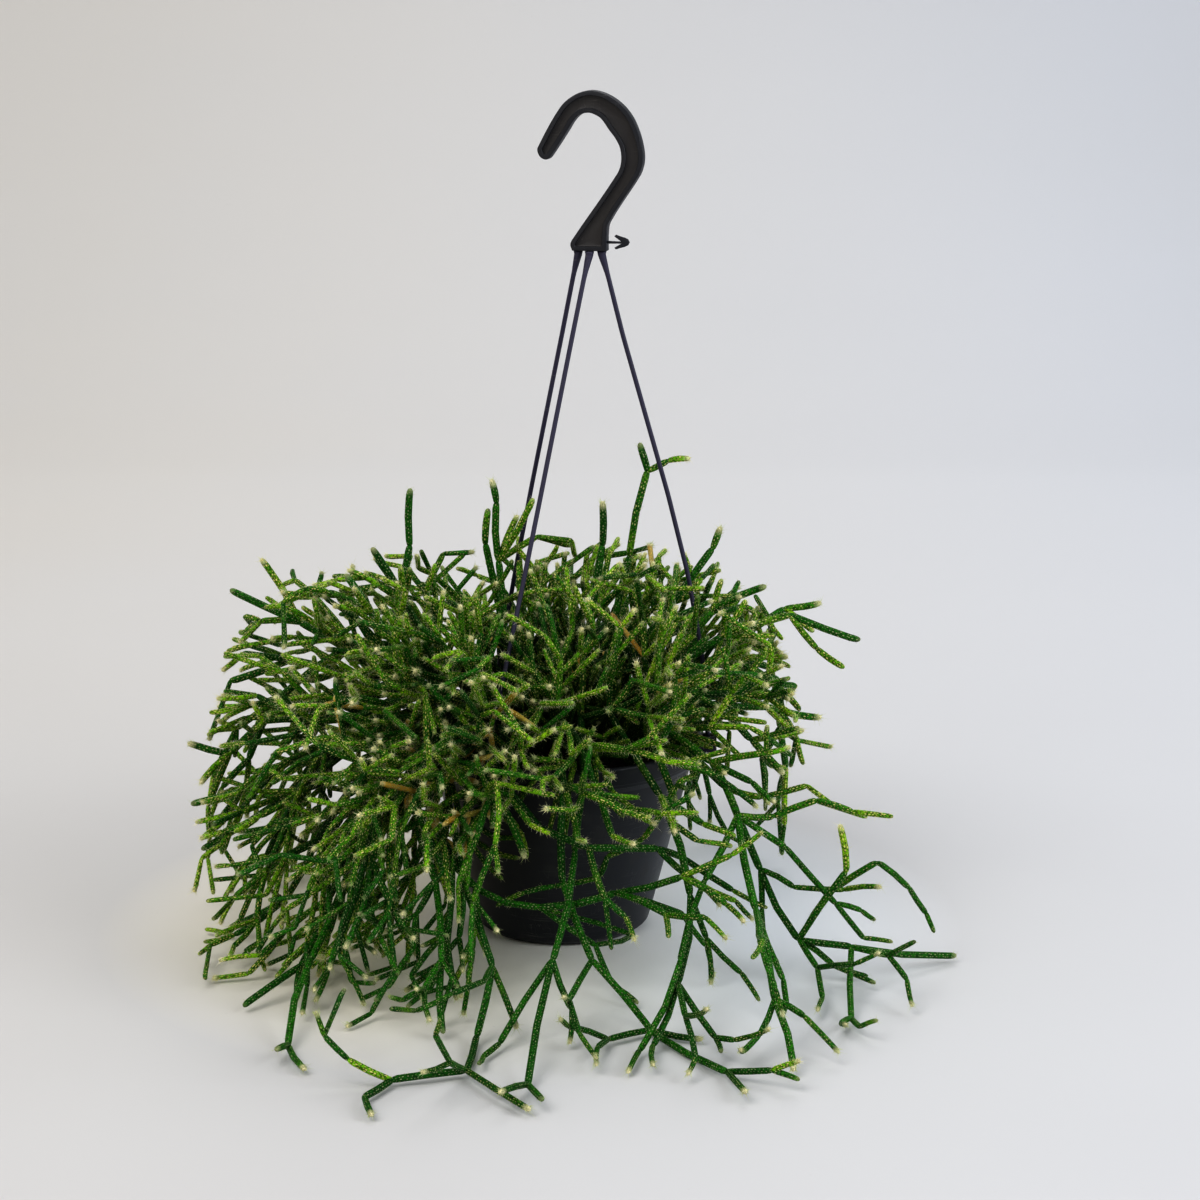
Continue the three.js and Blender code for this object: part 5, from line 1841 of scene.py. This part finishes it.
def strand_points(k):
    """The strand's route with its bends eased, and the radius at each point."""
    angle = math.radians(CLIP_ANGLES[k])
    line = [Vector(p) for p in strand_line(k)]
    foot = LUG_TOP - LUG_HEIGHT - 2.4
    away = LUG_RADIUS + STRAND_REACH
    foot = Vector((away * math.cos(angle), away * math.sin(angle), foot))
    root = line[0].lerp(line[1], 0.28)
    corners = [line[0], line[0] - Vector((0, 0, 2)), root, *line[1:], foot]
    points = [corners[0]]
    for a, b, c in zip(corners, corners[1:], corners[2:]):
        reach = min(BEND_REACH, (b - a).length * 0.4, (c - b).length * 0.4)
        first, last = b + (a - b).normalized() * reach, b + (c - b).normalized() * reach
        points += [first.lerp(b, 0.5 * t).lerp(b.lerp(last, 0.5 * t), t) if t else first
                   for t in (0, 0.5, 1)]
    points.append(foot)
    tops = [(0, 2.0), (2, 1.7), ((root - line[0]).length, 1.0)]
    radii, gone = [], 0
    for i, p in enumerate(points):
        gone += (p - points[i - 1]).length if i else 0
        share = np.interp(gone, [t[0] for t in tops], [t[1] for t in tops])
        radii.append(STRAND_RADIUS * float(share))
    return points, radii


def rod_lines(name, points, radii):
    """An edge mesh that the tube rule can follow, closed at both ends."""
    points = [points[0], *points, points[-1]]
    radii = [0, *radii, 0]
    mesh = bpy.data.meshes.new(name)
    edges = [(i, i + 1) for i in range(len(points) - 1)]
    mesh.from_pydata([[v * MM for v in p] for p in points], edges, [])
    thickness = [r * MM for r in radii]
    along = [i * MM for i in range(len(points))]
    mesh.attributes.new("thickness", "FLOAT", "POINT").data.foreach_set("value", thickness)
    mesh.attributes.new("along", "FLOAT", "POINT").data.foreach_set("value", along)
    mesh.attributes.new("side", "FLOAT_VECTOR", "POINT").data.foreach_set("vector", [0, 1, 0] * len(points))
    return in_scene(name, mesh)


print("points on a strand:", len(strand_points(0)[0]))

# %% Strands with their feet
FOOT_SIZE = (9, 8, 3)
STRAND_SIDES = 16
strands = []
for k, degrees in enumerate(CLIP_ANGLES):
    lines = rod_lines(f"strand_line_{k + 1}", *strand_points(k))
    rod = grown_mesh(f"hanger_strand_{k + 1}_dressed", lines, tubes,
                     {"Sides": STRAND_SIDES, "Weld": 0.001 * MM, "Material": strand_plastic})
    bpy.data.objects.remove(lines)
    under = LUG_TOP - LUG_HEIGHT - 0.4
    foot = box_object("foot", FOOT_SIZE, (LUG_RADIUS + STRAND_REACH, 0, under - FOOT_SIZE[2] / 2), degrees)
    eased(foot, 0.5)
    strand = joined(rod.name, rod, foot)
    dressed_in(strand, strand_plastic)
    strands.append(strand)
    print(strand.name, "triangles:", triangles(strand))

# %% [markdown]
# ## The soil
# Peat fills the pot to a finger below the rim: dark, crumbly, with lumps and pale
# specks. The body is turned like the pot, its top is raised by noise, and loose
# crumbs of a few faces lie scattered on it.

# %% Peat material
DRY_PEAT = ((0.010, 0.006, 0.004, 1), (0.062, 0.036, 0.021, 1))
DAMP_PEAT, PALE_SPECK = (0.020, 0.012, 0.008, 1), (0.36, 0.31, 0.24, 1)
peat, tree, shader = new_material("peat_crumbly")
place = tree.object_place()
lumps = tree.add("ShaderNodeTexNoise", {"Vector": place, "Scale": 220.0, "Detail": 8.0,
                                        "Roughness": 0.7}).outputs["Fac"]
damp = tree.noise(place, 24.0, 2.0)
specks = tree.add("ShaderNodeTexVoronoi", {"Vector": place, "Scale": 420.0}).outputs["Distance"]
earth = tree.mix(tree.ramp(lumps, 0.35, 0.68), *DRY_PEAT)
earth = tree.mix(tree.ramp(damp, 0.4, 0.7, 0.0, 0.5), earth, DAMP_PEAT)
tree.set(shader, "Base Color", tree.mix(tree.ramp(specks, 0.09, 0.05, 0.0, 0.5), earth, PALE_SPECK))
tree.set(shader, "Roughness", tree.ramp(damp, 0.4, 0.7, 0.95, 0.75))
tree.bump(shader, lumps, 0.9, 1.2 * MM)
print("peat nodes:", len(peat.node_tree.nodes))

# %% Soil body
SOIL_RINGS, SOIL_SIDES = 34, 110
soil_radius = SHOULDER - WALL + 1.2
soil_outline = [(0, FLOOR_THICKNESS + 0.35), (BASE_RADIUS - WALL - 3.6, FLOOR_THICKNESS + 0.35),
                (BASE_RADIUS + 3 - WALL - 0.7, 14.2), (SHOULDER - WALL - 0.6, BAND_LOW - 8.2),
                (soil_radius, SOIL_TOP - 1)]
soil_outline += [(soil_radius * (1 - k / SOIL_RINGS) - (0 if k else 0.8), SOIL_TOP)
                 for k in range(SOIL_RINGS)]
soil_outline.append((0, SOIL_TOP))
plain_soil = lathe_object("soil_dressed", soil_outline, SOIL_SIDES)
print("corners of the soil's outline:", len(soil_outline))

# %% Rough top and loose crumbs
crumbly, tree, given, out = geometry_tree(
    "crumbly_soil", [("Top", FLOAT), ("Rough Height", FLOAT), ("Lump Scale", FLOAT), ("Crumbs", FLOAT),
                     ("Crumb Size", FLOAT), ("Seed", "NodeSocketInt"), ("Material", "NodeSocketMaterial")])
where = tree.made("GeometryNodeInputPosition")
split = tree.split(where)
on_top = tree.math("GREATER_THAN", split["Z"], tree.less(given["Top"], 0.0002))
rise = tree.times(tree.less(tree.noise(where, given["Lump Scale"], 4.0), 0.5), given["Rough Height"])
lift = tree.made("ShaderNodeCombineXYZ", {"Z": rise})
body = tree.made("GeometryNodeSetPosition", {0: given["Geometry"], "Selection": on_top, "Offset": lift})
facing = tree.split(tree.made("GeometryNodeInputNormal"))["Z"]
scatter = tree.add("GeometryNodeDistributePointsOnFaces", {
    "Mesh": body, "Selection": tree.math("GREATER_THAN", facing, 0.6), "Density": given["Crumbs"],
    "Seed": given["Seed"]}, distribute_method="RANDOM").outputs["Points"]
crumb = tree.made("GeometryNodeMeshIcoSphere", {"Radius": given["Crumb Size"], "Subdivisions": 1})
spin = tree.made("FunctionNodeRandomValue", {0: (0, 0, 0), 1: (6.28, 6.28, 6.28), "Seed": given["Seed"]},
                 data_type="FLOAT_VECTOR")
sizes = tree.made("FunctionNodeRandomValue", {0: (0.5, 0.4, 0.3), 1: (1.6, 1.3, 1.0), "Seed": 4},
                  data_type="FLOAT_VECTOR")
loose = tree.made("GeometryNodeInstanceOnPoints", {"Points": scatter, "Instance": crumb, "Rotation": spin,
                                                   "Scale": sizes})
loose = tree.made("GeometryNodeRealizeInstances", {0: loose})
both = tree.add("GeometryNodeJoinGeometry")
tree.tree.links.new(body, both.inputs[0])
tree.tree.links.new(loose, both.inputs[0])
tree.set(out, "Geometry", tree.made("GeometryNodeSetMaterial", {0: both.outputs[0],
                                                                "Material": given["Material"]}))
soil = grown_mesh("soil_dressed", plain_soil, crumbly, {
    "Top": SOIL_TOP * MM, "Rough Height": 6.0 * MM, "Lump Scale": 110.0, "Crumbs": 90000.0,
    "Crumb Size": 1.1 * MM, "Seed": 6, "Material": peat})
bpy.data.objects.remove(plain_soil)
print("soil triangles:", triangles(soil))


# %% [markdown]
# ## Handing over
# The grown pieces take the place of the plain stems of the model and ride on the
# one body. A hair may not reach past the box of the solids, so it is trimmed
# there. The centre lines were only a guide, so they go.

# %% Hand over
for piece in stem_pieces + hair_pieces:
    places = np.empty(3 * len(piece.data.vertices), "f")
    piece.data.vertices.foreach_get("co", places)
    inside = np.clip(places.reshape(-1, 3), cad_box[0], cad_box[1])
    piece.data.vertices.foreach_set("co", inside.ravel())
    piece.data.update()

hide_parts("pot")
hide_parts("soil")
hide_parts("hanger_hook")
for k, strand in enumerate(strands):
    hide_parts(f"hanger_strand_{k + 1}")
for k, piece in enumerate(stem_pieces):
    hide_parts(*stem_nodes[k::len(stem_pieces)])
for slot, pieces in {"pot_plastic": [pot], "peat": [soil], "hanger_plastic": [hook, *strands],
                     "stem_green": stem_pieces + hair_pieces}.items():
    for piece in pieces:
        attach(piece, "root")
for lines in centre_lines.values():
    bpy.data.objects.remove(lines)
